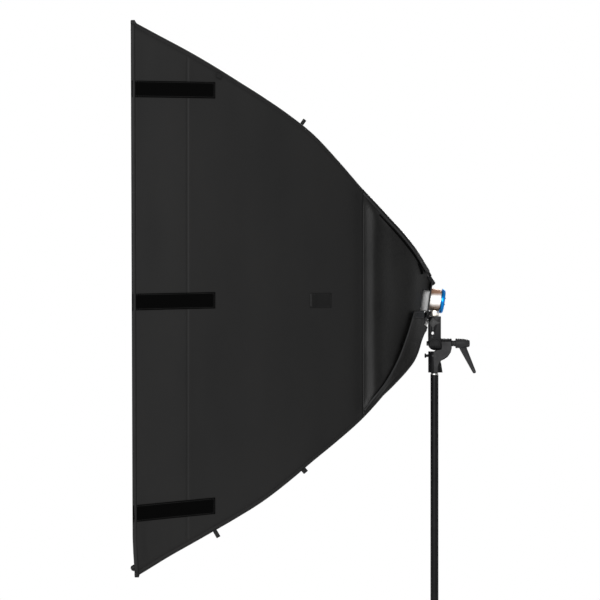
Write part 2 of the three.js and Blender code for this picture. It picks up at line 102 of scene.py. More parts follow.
side_nodes = ["front_panel_right", "rear_flap_right"]
top = Line(stations(["front_panel_top", "rear_flap_top"], lambda p: p[:, 2].max()))
half = Line(stations(side_nodes, lambda p: abs(p[:, 1]).max()))
bottom = Line(np.vstack([
    stations([name], lambda p: p[:, 2].min()) for name in ("front_panel_bottom", "rear_flap_bottom")
]))
FRONT_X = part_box("front_panel_right")[0].x
CREASE_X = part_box("front_panel_right")[1].x
REAR_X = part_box("rear_flap_right")[1].x
TOP_END_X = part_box("rear_flap_top")[1].x

# ---- materials ----


def material(name, colour, roughness=0.5, metallic=0.0, **sockets):
    """A Principled material. Whole-surface values sit on the shader's own sockets."""
    m = bpy.data.materials.new(name)
    m.use_nodes = True
    shader = m.node_tree.nodes["Principled BSDF"]
    shader.inputs["Base Color"].default_value = (*colour, 1)
    shader.inputs["Roughness"].default_value = roughness
    shader.inputs["Metallic"].default_value = metallic
    for key, value in sockets.items():
        shader.inputs[key.replace("_", " ")].default_value = value
    return m


def node(m, kind, **settings):
    made = m.node_tree.nodes.new(kind)
    for key, value in settings.items():
        if key in made.inputs:
            made.inputs[key].default_value = value
        else:
            setattr(made, key, value)
    return made


def link(m, a, output, b, into):
    m.node_tree.links.new(a.outputs[output], b.inputs[into])


def shader_of(m):
    return m.node_tree.nodes["Principled BSDF"]


def coordinates(m, stretch=(1, 1, 1), source="Object"):
    """Surface coordinates in metres, stretched along each axis. source is Object or the cloth's own UV."""
    if source == "UV":
        place = node(m, "ShaderNodeUVMap", uv_map="cloth")
    else:
        place = node(m, "ShaderNodeTexCoord")
    mapping = node(m, "ShaderNodeMapping")
    mapping.inputs["Scale"].default_value = stretch
    link(m, place, source, mapping, "Vector")
    return mapping


def noise_of(m, scale, detail=3.0, stretch=(1, 1, 1)):
    made = node(m, "ShaderNodeTexNoise", Scale=scale, Detail=detail)
    link(m, coordinates(m, stretch), "Vector", made, "Vector")
    return made


def tint(m, texture, dark, light, low=0.35, high=0.65):
    """Colours the surface between dark and light by a texture."""
    ramp = node(m, "ShaderNodeValToRGB")
    ramp.color_ramp.elements[0].position = low
    ramp.color_ramp.elements[1].position = high
    ramp.color_ramp.elements[0].color = (*dark, 1)
    ramp.color_ramp.elements[1].color = (*light, 1)
    link(m, texture, 0, ramp, "Fac")
    link(m, ramp, "Color", shader_of(m), "Base Color")
    return ramp


def roughen(m, texture, low, high):
    spread = node(m, "ShaderNodeMapRange")
    spread.inputs["To Min"].default_value = low
    spread.inputs["To Max"].default_value = high
    link(m, texture, 0, spread, "Value")
    link(m, spread, "Result", shader_of(m), "Roughness")


def bump(m, texture, strength, distance, under=None):
    made = node(m, "ShaderNodeBump", Strength=strength, Distance=distance)
    link(m, texture, 0, made, "Height")
    if under is not None:
        link(m, under, "Normal", made, "Normal")
    link(m, made, "Normal", shader_of(m), "Normal")
    return made


def weave(m, pitch):
    """Threads over and under each other, pitch apart, along the cloth's own UV."""
    place = coordinates(m, (math.pi / pitch, math.pi / pitch, 1), "UV")
    split = node(m, "ShaderNodeSeparateXYZ")
    link(m, place, "Vector", split, "Vector")
    waves = []
    for axis in ("X", "Y"):
        wave = node(m, "ShaderNodeMath", operation="SINE")
        link(m, split, axis, wave, 0)
        waves.append(wave)
    product = node(m, "ShaderNodeMath", operation="MULTIPLY")
    for k, wave in enumerate(waves):
        link(m, wave, 0, product, k)
    return product


def cloth(name, dark, light, roughness, pitch, grain, sheen=0.0, patch_scale=7.0, bumpiness=0.25,
          grain_scale=420, **sockets):
    """A woven cloth: soft patches of tone, a fine grain and raised threads."""
    sockets = {"Sheen_Weight": sheen, "Sheen_Roughness": 0.4, "Specular_IOR_Level": 0.075, **sockets}
    m = material(name, light, roughness, **sockets)
    patches = noise_of(m, patch_scale, 4, (1, 1, 0.45))
    fine = noise_of(m, grain_scale, 2)
    blend = node(m, "ShaderNodeMath", operation="MULTIPLY_ADD")
    link(m, fine, 0, blend, 0)
    blend.inputs[1].default_value = grain
    link(m, patches, 0, blend, 2)
    tint(m, blend, dark, light, 0.3 + grain / 2, 0.7 + grain / 2)
    threads = bump(m, weave(m, pitch), bumpiness, 0.00025)
    bump(m, fine, 0.35, 0.17 / grain_scale, threads)
    return m


def thread(name, colour, dark, light):
    """Sewing thread with a fine change of tone."""
    m = material(name, colour, 0.7, Specular_IOR_Level=0.1)
    tint(m, noise_of(m, 900), dark, light)
    return m


def cast_metal(name, colour, roughness):
    """Painted cast metal with a fine pebbled skin and a little tone change."""
    m = material(name, colour, roughness, 0.0, Specular_IOR_Level=0.07)
    tint(m, noise_of(m, 60, 4), colour, tuple(c * 1.6 for c in colour))
    bump(m, noise_of(m, 900, 2), 0.25, 0.0003)
    roughen(m, noise_of(m, 150, 3), roughness - 0.08, roughness + 0.1)
    return m


def turned_metal(name, dark, light, roughness, rings=1400.0, anisotropy=0.4):
    """Machined metal with fine lines round X."""
    m = material(name, light, roughness, 1.0, Anisotropic=anisotropy)
    lines = noise_of(m, rings, 2, (1, 0.03, 0.03))
    tint(m, lines, dark, light, 0.3, 0.7)
    roughen(m, noise_of(m, 90, 2), roughness - 0.06, roughness + 0.08)
    bump(m, lines, 0.12, 0.0001)
    return m


def painted_reflection_by_height(m, low, high, tints):
    """Paints light into turned metal's colour by its height, between the tints at shares of that height: painted
    highlight and painted reflection, not a real finish.
    """
    split = node(m, "ShaderNodeSeparateXYZ")
    link(m, coordinates(m), "Vector", split, "Vector")
    spread = node(m, "ShaderNodeMapRange")
    spread.inputs["From Min"].default_value = low
    spread.inputs["From Max"].default_value = high
    link(m, split, "Z", spread, "Value")
    ramp = node(m, "ShaderNodeValToRGB")
    elements = ramp.color_ramp.elements
    for place, colour in tints[1:-1]:
        elements.new(place)
    for element, (place, colour) in zip(elements, tints):
        element.position = place
        element.color = (*colour, 1)
    link(m, spread, "Result", ramp, "Fac")
    link(m, ramp, "Color", shader_of(m), "Base Color")


def moulded(name, colour, roughness, scale=700.0, strength=0.2):
    """Moulded plastic or rubber with a fine texture."""
    m = material(name, colour, roughness, 0.0, Specular_IOR_Level=0.1)
    tint(m, noise_of(m, 45, 3), colour, tuple(c * 1.5 for c in colour))
    bump(m, noise_of(m, scale, 2), strength, 0.0002)
    roughen(m, noise_of(m, 120, 3), roughness - 0.06, roughness + 0.08)
    return m


FRONT_NYLON = cloth("front_nylon_cloth", (0.0046,) * 3, (0.0058, 0.0057, 0.0056), 0.6, 0.0011, 0.25)
REAR_NYLON = cloth(
    "rear_nylon_cloth", (0.0006,) * 3, (0.0021, 0.0021, 0.002), 0.4, 0.0022, 0.9, 0.0, 20.0, 0.45, 190,
    Specular_IOR_Level=0.115)
EDGE_TAPE = cloth("grey_edge_tape", (0.0075,) * 3, (0.0125, 0.0125, 0.013), 0.6, 0.0014, 0.5, 0.0, 30.0, 0.4)
HEM = cloth("dark_hem_cloth", (0.0028, 0.003, 0.0036), (0.006, 0.0064, 0.0074), 0.5, 0.0012, 0.5, 0.0, 30.0,
            0.4)
BINDING = cloth("black_binding_tape", (0.0042,) * 3, (0.0064,) * 3, 0.62, 0.0018, 0.5, 0.0, 30.0, 0.5)
HOOK_LOOP = cloth("black_hook_and_loop", (0.0004,) * 3, (0.0012,) * 3, 0.95, 0.0016, 1.6, 0.0, 60.0, 1.0,
                  Specular_IOR_Level=0.02)
LABEL = cloth("black_satin_label", (0.0022,) * 3, (0.0036,) * 3, 0.5, 0.0009, 0.3, 0.0, 40.0)
SILVER_LINING = cloth("silver_lining", (0.34, 0.34, 0.35), (0.5, 0.5, 0.51), 0.45, 0.0024, 0.5, 0.0, 25.0,
                      0.6, Metallic=0.8)
WHITE_CLOTH = cloth("white_diffuser_cloth", (0.66, 0.66, 0.65), (0.76, 0.76, 0.75), 0.75, 0.0008, 0.3, 0.1,
                    Subsurface_Weight=0.15)
PALE_THREAD = thread("grey_thread", (0.05, 0.05, 0.052), (0.035,) * 3, (0.07,) * 3)
THREAD = thread("black_thread", (0.008, 0.008, 0.008), (0.005,) * 3, (0.011,) * 3)
FIBREGLASS = moulded("rod_fibreglass_black", (0.02, 0.02, 0.021), 0.35, 300.0, 0.1)
CAST_BLACK = cast_metal("black_cast_paint", (0.0022, 0.0022, 0.0024), 0.42)
TUBE_BLACK = cast_metal("black_tube_coat", (0.002, 0.002, 0.0022), 0.4)
PLASTIC = moulded("black_moulded_plastic", (0.004, 0.004, 0.004), 0.48)
RUBBER = moulded("black_moulded_rubber", (0.006, 0.006, 0.006), 0.75, 260.0, 0.4)
STEEL = turned_metal("bright_steel", (0.42, 0.41, 0.4), (0.62, 0.61, 0.59), 0.28)
# A lighter grey for the bracket's flat web faces: a painted highlight where the front light falls on the black
# casting.
CAST_PAINTED_HIGHLIGHT = cast_metal("cast_painted_highlight", (0.0105, 0.0105, 0.0108), 0.5)
# A lighter grey for the receiver's star relief: a painted highlight where the front light catches its raised
# faces.
RELIEF_PAINTED_HIGHLIGHT = cast_metal("relief_painted_highlight", (0.019, 0.019, 0.019), 0.5)
LEVER_PLASTIC = moulded("lever_plastic", (0.0075, 0.0075, 0.0078), 0.48)
SATIN_CAST = turned_metal("satin_cream_metal", (0.72, 0.68, 0.6), (0.86, 0.82, 0.75), 0.42, 500.0, 0.1)
# The fins' own turned-metal browns given here are overridden below by a colour painted by height.
FIN_METAL = turned_metal("fin_metal_painted_reflection", (0.2, 0.12, 0.075), (0.42, 0.29, 0.2), 0.36, 1400.0, 0.1)
FIN_OUT = 27.5
# Painted light by height: copper-brown painted reflection at the top and bottom, and a pale painted highlight band
# round the middle.
FIN_PAINTED_LIGHT_TINTS = [(0.0, (0.12, 0.085, 0.065)), (0.2, (0.3, 0.24, 0.2)), (0.36, (0.86, 0.84, 0.82)),
             (0.68, (0.88, 0.87, 0.86)), (0.82, (0.42, 0.25, 0.17)), (1.0, (0.34, 0.18, 0.11))]
painted_reflection_by_height(FIN_METAL, LAMP_Z - FIN_OUT * MM, LAMP_Z + FIN_OUT * MM, FIN_PAINTED_LIGHT_TINTS)
RING_METAL = turned_metal("grey_ring_metal", (0.27, 0.27, 0.27), (0.4, 0.4, 0.4), 0.75, 700.0, 0.1)
SPIGOT_STEEL = turned_metal("grey_spigot_steel", (0.16, 0.16, 0.16), (0.3, 0.3, 0.29), 0.4)
WING_METAL = turned_metal("grey_cast_metal", (0.2, 0.2, 0.2), (0.32, 0.32, 0.31), 0.42, 300.0, 0.1)
BLUE_METAL = turned_metal("blue_anodised_metal", (0.0, 0.075, 0.27), (0.01, 0.2, 0.52), 0.34, 1400.0, 0.1)
DULL_STEEL = turned_metal("dark_screw_steel", (0.03, 0.03, 0.03), (0.07, 0.07, 0.068), 0.45)
CERAMIC = moulded("white_lamp_ceramic", (0.78, 0.76, 0.72), 0.3, 200.0, 0.1)
BULB_GLASS = moulded("frosted_bulb_glass", (0.86, 0.86, 0.84), 0.3, 120.0, 0.05)
FLOOR = material("pale_floor", (0.82, 0.82, 0.82), 0.7)
tint(FLOOR, noise_of(FLOOR, 2.0), (0.81,) * 3, (0.83,) * 3)


# ---- mesh code ----

def piece(name, verts, faces, skin, body, slot, uv=None, extra=()):
    """Makes a named mesh piece that rides on a CAD body. slot is not used."""
    mesh = bpy.data.meshes.new(name)
    mesh.from_pydata([tuple(v) for v in verts], [], [tuple(f) for f in faces])
    for m in (skin, *extra):
        mesh.materials.append(m)
    if uv is not None:
        layer = mesh.uv_layers.new(name="cloth")
        loops = np.array([loop.vertex_index for loop in mesh.loops])
        layer.data.foreach_set("uv", np.asarray(uv, float)[loops].ravel())
    mesh.shade_smooth()
    mesh.validate()
    made = bpy.data.objects.new(name, mesh)
    scene.collection.objects.link(made)
    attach(made, body)
    return made


def grid_faces(rows, columns, wrap=False):
    """Four-sided faces over a grid of points stored row by row."""
    across = columns if wrap else columns - 1
    return [
        (r * columns + c, r * columns + (c + 1) % columns,
         (r + 1) * columns + (c + 1) % columns, (r + 1) * columns + c)
        for r in range(rows - 1) for c in range(across)
    ]


def ring_faces(rows, columns):
    """Faces round closed sections, the last section joined back to the first."""
    last = (rows - 1) * columns
    joined = [(last + k, last + (k + 1) % columns, (k + 1) % columns, k) for k in range(columns)]
    return grid_faces(rows, columns, True) + joined


def capped_faces(rows, columns):
    """Faces round closed sections, with a cap on the first and the last."""
    last = (rows - 1) * columns
    caps = [tuple(reversed(range(columns))), tuple(last + k for k in range(columns))]
    return grid_faces(rows, columns, True) + caps


def grid_uv(points):
    """Distances along a grid's two directions, in metres."""
    along = np.linalg.norm(np.diff(points, axis=0), axis=2).cumsum(axis=0)
    across = np.linalg.norm(np.diff(points, axis=1), axis=2).cumsum(axis=1)
    u = np.pad(along, ((1, 0), (0, 0))).mean(axis=1)
    v = np.pad(across, ((0, 0), (1, 0)))
    v = v - v.mean(axis=1, keepdims=True)
    uu = np.repeat(u[:, None], points.shape[1], axis=1)
    return np.stack([uu, v], axis=2).reshape(-1, 2)


def thicken(made, thickness, inner=0, rim=0):
    """Gives a sheet its thickness, inwards. inner and rim pick the material of those faces."""
    shell = made.modifiers.new("thickness", "SOLIDIFY")
    shell.thickness = thickness
    shell.offset = -1
    shell.material_offset = inner
    shell.material_offset_rim = rim
    shell.use_even_offset = False
    return made


def cloth_sheet(name, points, skin, body, slot, thickness, wrap=False, inner=None, flip=False, plain=False):
    """A cloth piece from a grid of points, with its own UV. A plain one has one finish all over."""
    rows, columns = points.shape[:2]
    faces = grid_faces(rows, columns, wrap)
    if flip:
        faces = [tuple(reversed(f)) for f in faces]
    extra = (inner, BINDING) if inner else (skin, BINDING)
    made = piece(name, points.reshape(-1, 3), faces, skin, body, slot, grid_uv(points), extra=extra)
    return thicken(made, thickness) if plain else thicken(made, thickness, 1, 2)


def flat_area(points, wrap=False):
    """The area of a grid of points."""
    if wrap:
        points = np.concatenate([points, points[:, :1]], axis=1)
    a, b = points[1:, :-1] - points[:-1, :-1], points[:-1, 1:] - points[:-1, :-1]
    c, d = points[1:, :-1] - points[1:, 1:], points[:-1, 1:] - points[1:, 1:]
    halves = [np.linalg.norm(np.cross(p, q), axis=2).sum() / 2 for p, q in ((a, b), (c, d))]
    return float(sum(halves))


def declare_sheet(made, points, wrap=False, with_pieces=()):
    """Works out a cloth piece's flat size and the area that its surface unrolls to; nothing is done with them."""
    ring = np.concatenate([points, points[:, :1]], axis=1) if wrap else points
    widths = np.linalg.norm(np.diff(ring, axis=1), axis=2).sum(axis=1)
    lengths = np.linalg.norm(np.diff(points, axis=0), axis=2).sum(axis=0)
    flat = (round(float(widths.max()), 3), round(float(lengths.max()), 3))
    area = min(round(flat_area(points, wrap), 4), flat[0] * flat[1])


def join_shapes(shapes):
    """One list of points and faces from several."""
    verts, faces = [], []
    for v, f in shapes:
        faces += [tuple(len(verts) + k for k in face) for face in f]
        verts += [tuple(p) for p in v]
    return verts, faces


def swept(path, section, ups, closed=False):
    """A section of [across, up] points carried along a path. ups are the up directions on the path."""
    path, ups = np.asarray(path, float), np.asarray(ups, float)
    count, sides = len(path), len(section)
    verts = []
    for i in range(count):
        before = path[i - 1] if i or closed else path[i]
        after = path[(i + 1) % count] if i < count - 1 or closed else path[i]
        ahead = (after - before) / np.linalg.norm(after - before)
        across = np.cross(ups[i], ahead)
        across /= np.linalg.norm(across)
        up = np.cross(ahead, across)
        verts += [path[i] + a * across + b * up for a, b in section]
    return verts, ring_faces(count, sides) if closed else capped_faces(count, sides)


def round_section(width, height, radius):
    """A rounded rectangle of [across, up] points, three to a corner."""
    points = []
    for k, (a, b) in enumerate(((1, 1), (-1, 1), (-1, -1), (1, -1))):
        for i in range(3):
            angle = math.radians(90 * (k + i / 2))
            points.append((
                a * (width / 2 - radius) + radius * math.cos(angle),
                b * (height / 2 - radius) + radius * math.sin(angle),
            ))
    return points


def face_out(made):
    """Turns a closed piece's faces outwards."""
    work = bmesh.new()
    work.from_mesh(made.data)
    bmesh.ops.recalc_face_normals(work, faces=work.faces)
    work.to_mesh(made.data)
    work.free()
    return made


def lathe(profile, centre, axis, sides=64):
    """A profile of [radius, distance] points turned about an axis through centre."""
    axis = Vector(axis).normalized()
    side = axis.orthogonal().normalized()
    other = axis.cross(side)
    verts = []
    for radius, distance in profile:
        for k in range(sides):
            angle = 2 * math.pi * k / sides
            out = side * math.cos(angle) + other * math.sin(angle)
            verts.append(Vector(centre) + axis * distance + out * radius)
    if profile[0] != profile[-1]:
        return verts, capped_faces(len(profile), sides)
    kept = (len(profile) - 1) * sides
    return verts[:kept], [tuple(k % kept for k in face) for face in grid_faces(len(profile), sides, True)]


def sharpen(made, angle):
    """Smooth shading that keeps edges sharper than the angle."""
    work = bmesh.new()
    work.from_mesh(made.data)
    limit = math.radians(angle)
    for edge in work.edges:
        edge.smooth = len(edge.link_faces) != 2 or edge.calc_face_angle(0) < limit
    for face in work.faces:
        face.smooth = True
    work.to_mesh(made.data)
    work.free()
    return made


def dressed(name, node_name, skin, bevel, segments=2):
    """A copy of a CAD node with softened edges, which stands for it."""
    record = frame["record"]
    body = next(b for b, members in record["behaviour"]["bodies"].items() if node_name in members)
    work = bmesh.new()
    work.from_mesh(frame["nodes"][node_name].data)
    bmesh.ops.remove_doubles(work, verts=work.verts, dist=1e-6)
    bmesh.ops.dissolve_limit(work, angle_limit=math.radians(1.5), verts=work.verts, edges=work.edges)
    mesh = bpy.data.meshes.new(name)
    work.to_mesh(mesh)
    work.free()
    mesh.materials.clear()
    mesh.materials.append(skin)
    made = bpy.data.objects.new(name, mesh)
    scene.collection.objects.link(made)
    mesh.shade_smooth()
    edge = made.modifiers.new("softened_edges", "BEVEL")
    edge.width = bevel
    edge.segments = segments
    edge.limit_method = "ANGLE"
    edge.angle_limit = math.radians(30)
    edge.harden_normals = True
    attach(made, body)
    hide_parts(node_name)
    return made


# ---- the box's cloth surface ----

CORNER_ROUND = 5 * MM
CHANNEL = 8.5 * MM
WALL_SAG = 9 * MM
SHEET_THICKNESS = 1.1 * MM
FLAP_THICKNESS = 1.2 * MM
VALLEY_BEFORE, VALLEY_BEFORE_WIDTH = 9.6 * MM, 34 * MM
VALLEY_AFTER, VALLEY_AFTER_WIDTH = 11.5 * MM, 34 * MM
BULGE, BULGE_AT, BULGE_WIDTH = 11.5 * MM, 44 * MM, 29 * MM
NEAR_EDGE = [5 * MM, 6.5 * MM, 8 * MM, 9.2 * MM, 10.5 * MM, 13 * MM, 19 * MM]
SEAM_DEPTH = 120 * MM
SIDES = ((1, "left"), (-1, "right"))


def smoothstep(low, high, value):
    t = min(max((value - low) / (high - low), 0.0), 1.0)
    return t * t * (3 - 2 * t)


def hump(value, middle, width):
    return math.exp(-((value - middle) / width) ** 2)


# The cloth bows a little past the rods' outline: above, behind the front edge, and below, near the crease.
TOP_BOW, TOP_BOW_AT, TOP_BOW_WIDTH = 4.2 * MM, 165 * MM, 115 * MM
BOTTOM_BOW, BOTTOM_BOW_AT, BOTTOM_BOW_WIDTH = 3 * MM, 480 * MM, 105 * MM
rod_top, rod_bottom = top, bottom


def top(x):
    return rod_top(x) + TOP_BOW * hump(x, FRONT_X + TOP_BOW_AT, TOP_BOW_WIDTH)


def bottom(x):
    return rod_bottom(x) - BOTTOM_BOW * hump(x, FRONT_X + BOTTOM_BOW_AT, BOTTOM_BOW_WIDTH)


def channel(distance):
    """The rod's sleeve along a corner: a low ridge and the stitched groove beside it."""
    ridge = 1.1 * MM * (1 - smoothstep(0.6 * CHANNEL, CHANNEL, distance))
    return ridge - 1.3 * MM * hump(distance, CHANNEL + 0.7 * MM, 1.3 * MM)


def wrinkle(x, y, z):
    """Small unevenness of stretched cloth, with folds pulled towards the front corners."""
    depth = x - FRONT_X
    p = Vector((x * 9, y * 9, z * 4))
    value = 0.9 * MM * noise.noise(p) + 0.5 * MM * noise.noise(p * 3.1)
    for high, power in ((1, 0.8), (-1, 2.0)):
        corner_z = top(FRONT_X) if high > 0 else bottom(FRONT_X)
        off = abs(z - corner_z)
        reach = hump(depth, 40 * MM, 70 * MM) * hump(off, 55 * MM, 60 * MM)
        fold = math.sin((depth * 0.75 + off) * 190 + 2 * noise.noise(Vector((x * 20, y * 5, z * 20))))
        value += power * MM * reach * fold
    return value


def sag_share(depth):
    """How much of a wall's sag shows at a depth: deepest between the seam and the crease."""
    return 1.55 * smoothstep(95 * MM, 330 * MM, depth) - 0.55 * smoothstep(330 * MM, 500 * MM, depth)


def skin_offset(x, distance, length):
    """How far the cloth stands out from the box's outline at a place on one wall."""
    depth = x - FRONT_X
    share = min(max(distance / length, 0.0), 1.0)
    sag = -WALL_SAG * (4 * share * (1 - share)) ** 0.8 * sag_share(depth)
    seam = -0.9 * MM * hump(depth, SEAM_DEPTH, 1.6 * MM) + 0.4 * MM * hump(depth, SEAM_DEPTH + 5 * MM, 3 * MM)
    before, after = 0.0, 0.0
    if x <= CREASE_X:
        before = -VALLEY_BEFORE * smoothstep(CREASE_X - VALLEY_BEFORE_WIDTH, CREASE_X, x)
    else:
        after = -VALLEY_AFTER * (1 - smoothstep(CREASE_X - 8 * MM, CREASE_X + VALLEY_AFTER_WIDTH, x))
        after += BULGE * hump(x, CREASE_X + BULGE_AT, BULGE_WIDTH)
    near = smoothstep(0.0, 30 * MM, min(distance, length - distance))
    return sag + (seam + before + after) * near


# Each wall's outward direction, as [y, z], in the order that runs round the box.
WALLS = {"right": (-1, 0), "bottom": (0, -1), "left": (1, 0), "top": (0, 1)}


def wall_ends(name, x):
    """A wall's two corners at a depth, as [y, z], in the order that runs round the box."""
    w, t, b = half(x), top(x), bottom(x)
    return {
        "right": ((-w, t), (-w, b)),
        "bottom": ((-w, b), (w, b)),
        "left": ((w, b), (w, t)),
        "top": ((w, t), (-w, t)),
    }[name]


PULL, CORNER_PULL, PULL_DEPTH = 4.5 * MM, 4 * MM, 110 * MM


def pulled_back(x, y, z):
    """How far the cloth is drawn back at the front edge: more towards its lower corners."""
    low_share = (top(FRONT_X) - z) / (top(FRONT_X) - bottom(FRONT_X))
    corner = smoothstep(0.93, 1.0, low_share) * smoothstep(0.75, 1.0, abs(y) / half(FRONT_X))
    return (PULL * low_share + CORNER_PULL * corner) * (1 - smoothstep(FRONT_X, FRONT_X + PULL_DEPTH, x))


def wall_point(name, x, distance, lift=0.0):
    """A point on a wall's cloth, at a distance from its first corner, lifted off it."""
    (y0, z0), (y1, z1) = wall_ends(name, x)
    length = math.hypot(y1 - y0, z1 - z0)
    y = y0 + (y1 - y0) * distance / length
    z = z0 + (z1 - z0) * distance / length
    n = WALLS[name]
    to_corner = min(distance, length - distance)
    out = skin_offset(x, distance, length) + channel(to_corner)
    out += lift + wrinkle(x, y, z) * smoothstep(8 * MM, 40 * MM, to_corner)
    return np.array([x + pulled_back(x, y, z), y + n[0] * out, z + n[1] * out])


def wall_length(name, x):
    (y0, z0), (y1, z1) = wall_ends(name, x)
    return math.hypot(y1 - y0, z1 - z0)


def wall_steps(length, fine):
    """Distances across a wall: close together at its corners, even between them."""
    inner = np.linspace(NEAR_EDGE[-1], length - NEAR_EDGE[-1], fine + 2)[1:-1]
    return [*NEAR_EDGE, *inner, *(length - d for d in reversed(NEAR_EDGE))]


def corner_points(name, x):
    """The rounded corner at the end of a wall, before the next wall starts."""
    order = list(WALLS)
    after = order[(order.index(name) + 1) % 4]
    _, (y, z) = wall_ends(name, x)
    a, b = np.array(WALLS[name]), np.array(WALLS[after])
    middle = np.array([y, z]) - CORNER_ROUND * (a + b)
    points = []
    for share in (0.25, 0.5, 0.75):
        out = math.cos(share * math.pi / 2) * a + math.sin(share * math.pi / 2) * b
        points.append([x + pulled_back(x, y, z), *(middle + (CORNER_ROUND + channel(0)) * out)])
    return points


def box_ring(x):
    """All the way round the box at one depth."""
    points = []
    for name in WALLS:
        steps = wall_steps(wall_length(name, x), 34 if name in ("right", "left") else 24)
        points += [wall_point(name, x, d) for d in steps]
        points += corner_points(name, x)
    return points


def depth_steps(low, high, count, extra=()):
    return sorted({*np.linspace(low, high, count).round(5), *(round(e, 5) for e in extra if low < e < high)})


seam_x = FRONT_X + SEAM_DEPTH
front_xs = depth_steps(
    FRONT_X, CREASE_X, 46,
    [seam_x + k * MM for k in (-3, -1.2, 0, 1.2, 3, 6)] + [CREASE_X - k * MM for k in (2, 5, 9, 14, 20)])
front_points = np.array([box_ring(x) for x in front_xs])
front_canopy = cloth_sheet(
    "front_canopy", front_points, FRONT_NYLON, "softbox", "front_nylon", SHEET_THICKNESS, True, SILVER_LINING)
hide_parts("front_panel_right", "front_panel_left", "front_panel_top", "front_panel_bottom")

# The rear cloth comes out of the crease's valley, bulges just behind it and then follows the rods.

WINDOW_X = AXIS_X - 35 * MM
WINDOW_SLANT = 8 / 52
WINDOW_HALF = 26
WINDOW_Z = (LAMP_Z - 26.5 * MM, LAMP_Z + 23.5 * MM)
PRONG_X = AXIS_X - 10 * MM
LOWER_END_X = AXIS_X - 30 * MM


def rear_side(side):
    """A rear side panel: its own cloth from the crease to the lamp, open at the ring's window."""
    name = "right" if side < 0 else "left"
    behind_crease = [CREASE_X + k * MM for k in (1.5, 3, 6, 9)]
    xs = depth_steps(CREASE_X, PRONG_X, 34, [WINDOW_X, LOWER_END_X, *behind_crease])
    high_count, middle_count, low_count = 22, 14, 22
    reach = WINDOW_HALF * MM
    rows = []
    for x in xs:
        t = top(x)
        length = wall_length(name, x)
        aim = [(t - WINDOW_Z[1]) / length, (t - WINDOW_Z[0]) / length]
        near = smoothstep(CREASE_X, WINDOW_X - 10 * MM, x)
        marks = [base + (goal - base) * near for base, goal in zip((0.36, 0.64), aim)]
        shares = [
            *np.linspace(0, marks[0], high_count + 1)[:-1],
            *np.linspace(marks[0], marks[1], middle_count + 1)[:-1],
            *np.linspace(marks[1], 1, low_count + 1),
        ]
        row = []
        for share in shares:
            off = t - share * length - (WINDOW_Z[0] + WINDOW_Z[1]) / 2
            lean = WINDOW_SLANT * min(max(off, -reach), reach) * smoothstep(WINDOW_X - 60 * MM, WINDOW_X, x)
            lean *= 1 - smoothstep(WINDOW_X + 4 * MM, PRONG_X, x)
            distance = share * length
            row.append(wall_point(name, x + lean, distance if side < 0 else length - distance))
        rows.append(row)
    points = np.array(rows)
    columns = points.shape[1]
    kept = []
    for face in grid_faces(len(xs), columns):
        centre = points.reshape(-1, 3)[list(face)].mean(axis=0)
        edge_x = WINDOW_X + WINDOW_SLANT * (centre[2] - sum(WINDOW_Z) / 2)
        in_window = centre[0] > edge_x and WINDOW_Z[0] < centre[2] < WINDOW_Z[1]
        past_end = centre[0] > LOWER_END_X and centre[2] < WINDOW_Z[1]
        if not in_window and not past_end:
            kept.append(face if side < 0 else tuple(reversed(face)))
    made = piece(f"rear_side_{name}", points.reshape(-1, 3), kept, REAR_NYLON, "softbox", "rear_nylon",
                 grid_uv(points), extra=(SILVER_LINING, BINDING))
    thicken(made, SHEET_THICKNESS, 1, 2)
    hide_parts(f"rear_flap_{name}")
    return made, points


rear_sides = {side: rear_side(side) for side in (1, -1)}


VENT_WRAP = 7 * MM
VENT_LIFT = 1.2 * MM
VENT_END_LIFT = 1.5 * MM
VENT_VALLEY = 6.0 * MM
VENT_SAG = 5 * MM


def vent_rows():
    """The vent flap's points: across the box at each depth, wrapped a little over both sides."""
    rows = []
    for x in depth_steps(CREASE_X + 1 * MM, TOP_END_X, 40, [CREASE_X + k * MM for k in (3, 6, 10)]):
        w, z = half(x), top(x)
        slope = (top(x + MM) - top(x - MM)) / (2 * MM)
        back = -np.array([-slope, 1.0]) / math.hypot(slope, 1)
        edge_lift = VENT_LIFT * smoothstep(CREASE_X, CREASE_X + 60 * MM, x)
        out = edge_lift + VENT_END_LIFT * smoothstep(TOP_END_X - 60 * MM, TOP_END_X, x)
        side_points = []
        for share in (1.0, 0.8, 0.6, 0.4, 0.2):
            px, pz = x + back[0] * VENT_WRAP * share, z + back[1] * VENT_WRAP * share
            reach = half(px) + 1.6 * MM + edge_lift * 0.6
            side_points.append((px, reach, pz + out * (1 - share) * 0.6))
        corner = [(x, w + (1.6 * MM + edge_lift * 0.6) * c, z + (1.0 * MM + out) * q)
                  for c, q in ((1.0, 0.25), (0.75, 0.75), (0.25, 1.0))]
        inner = []
        for share in np.linspace(0, 1, 27)[1:-1]:
            y = w * (1 - 2 * share)
            fall = 4 * share * (1 - share)
            valley = VENT_VALLEY * (1 - smoothstep(CREASE_X, CREASE_X + 20 * MM, x))
            sag = (VENT_SAG * fall ** 0.7 + valley * min(1, fall * 3)) - out
            inner.append((x, y, z - (sag - 1.2 * MM)))
        left_edge = side_points + corner
        rows.append(left_edge + inner + [(px, -py, pz) for px, py, pz in reversed(left_edge)])
    return np.array(rows)


vent_points = vent_rows()
vent_flap = cloth_sheet("vent_flap_cloth", vent_points, REAR_NYLON, "vent_flap", "rear_nylon", FLAP_THICKNESS,
                        inner=SILVER_LINING)
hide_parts("rear_flap_top")

# The bottom flap wraps over both side panels: its margins widen towards the lamp and end in a hem.

MARGIN_EDGE = [(-181, -262), (-163, -238), (-126, -193), (-96, -143), (-73, -86), (-54, -27)]
FLAP_CORNER = [(-138, -228.5), (-106, -198.5), (-67, -158.5), (-57, -146), (-47.5, -129), (-41.5, -114),
               (-36.5, -98), (-29, -80), (-21, -64)]
MARGIN_END = [(-28.5, -61), (-30, -45), (-29, -26)]


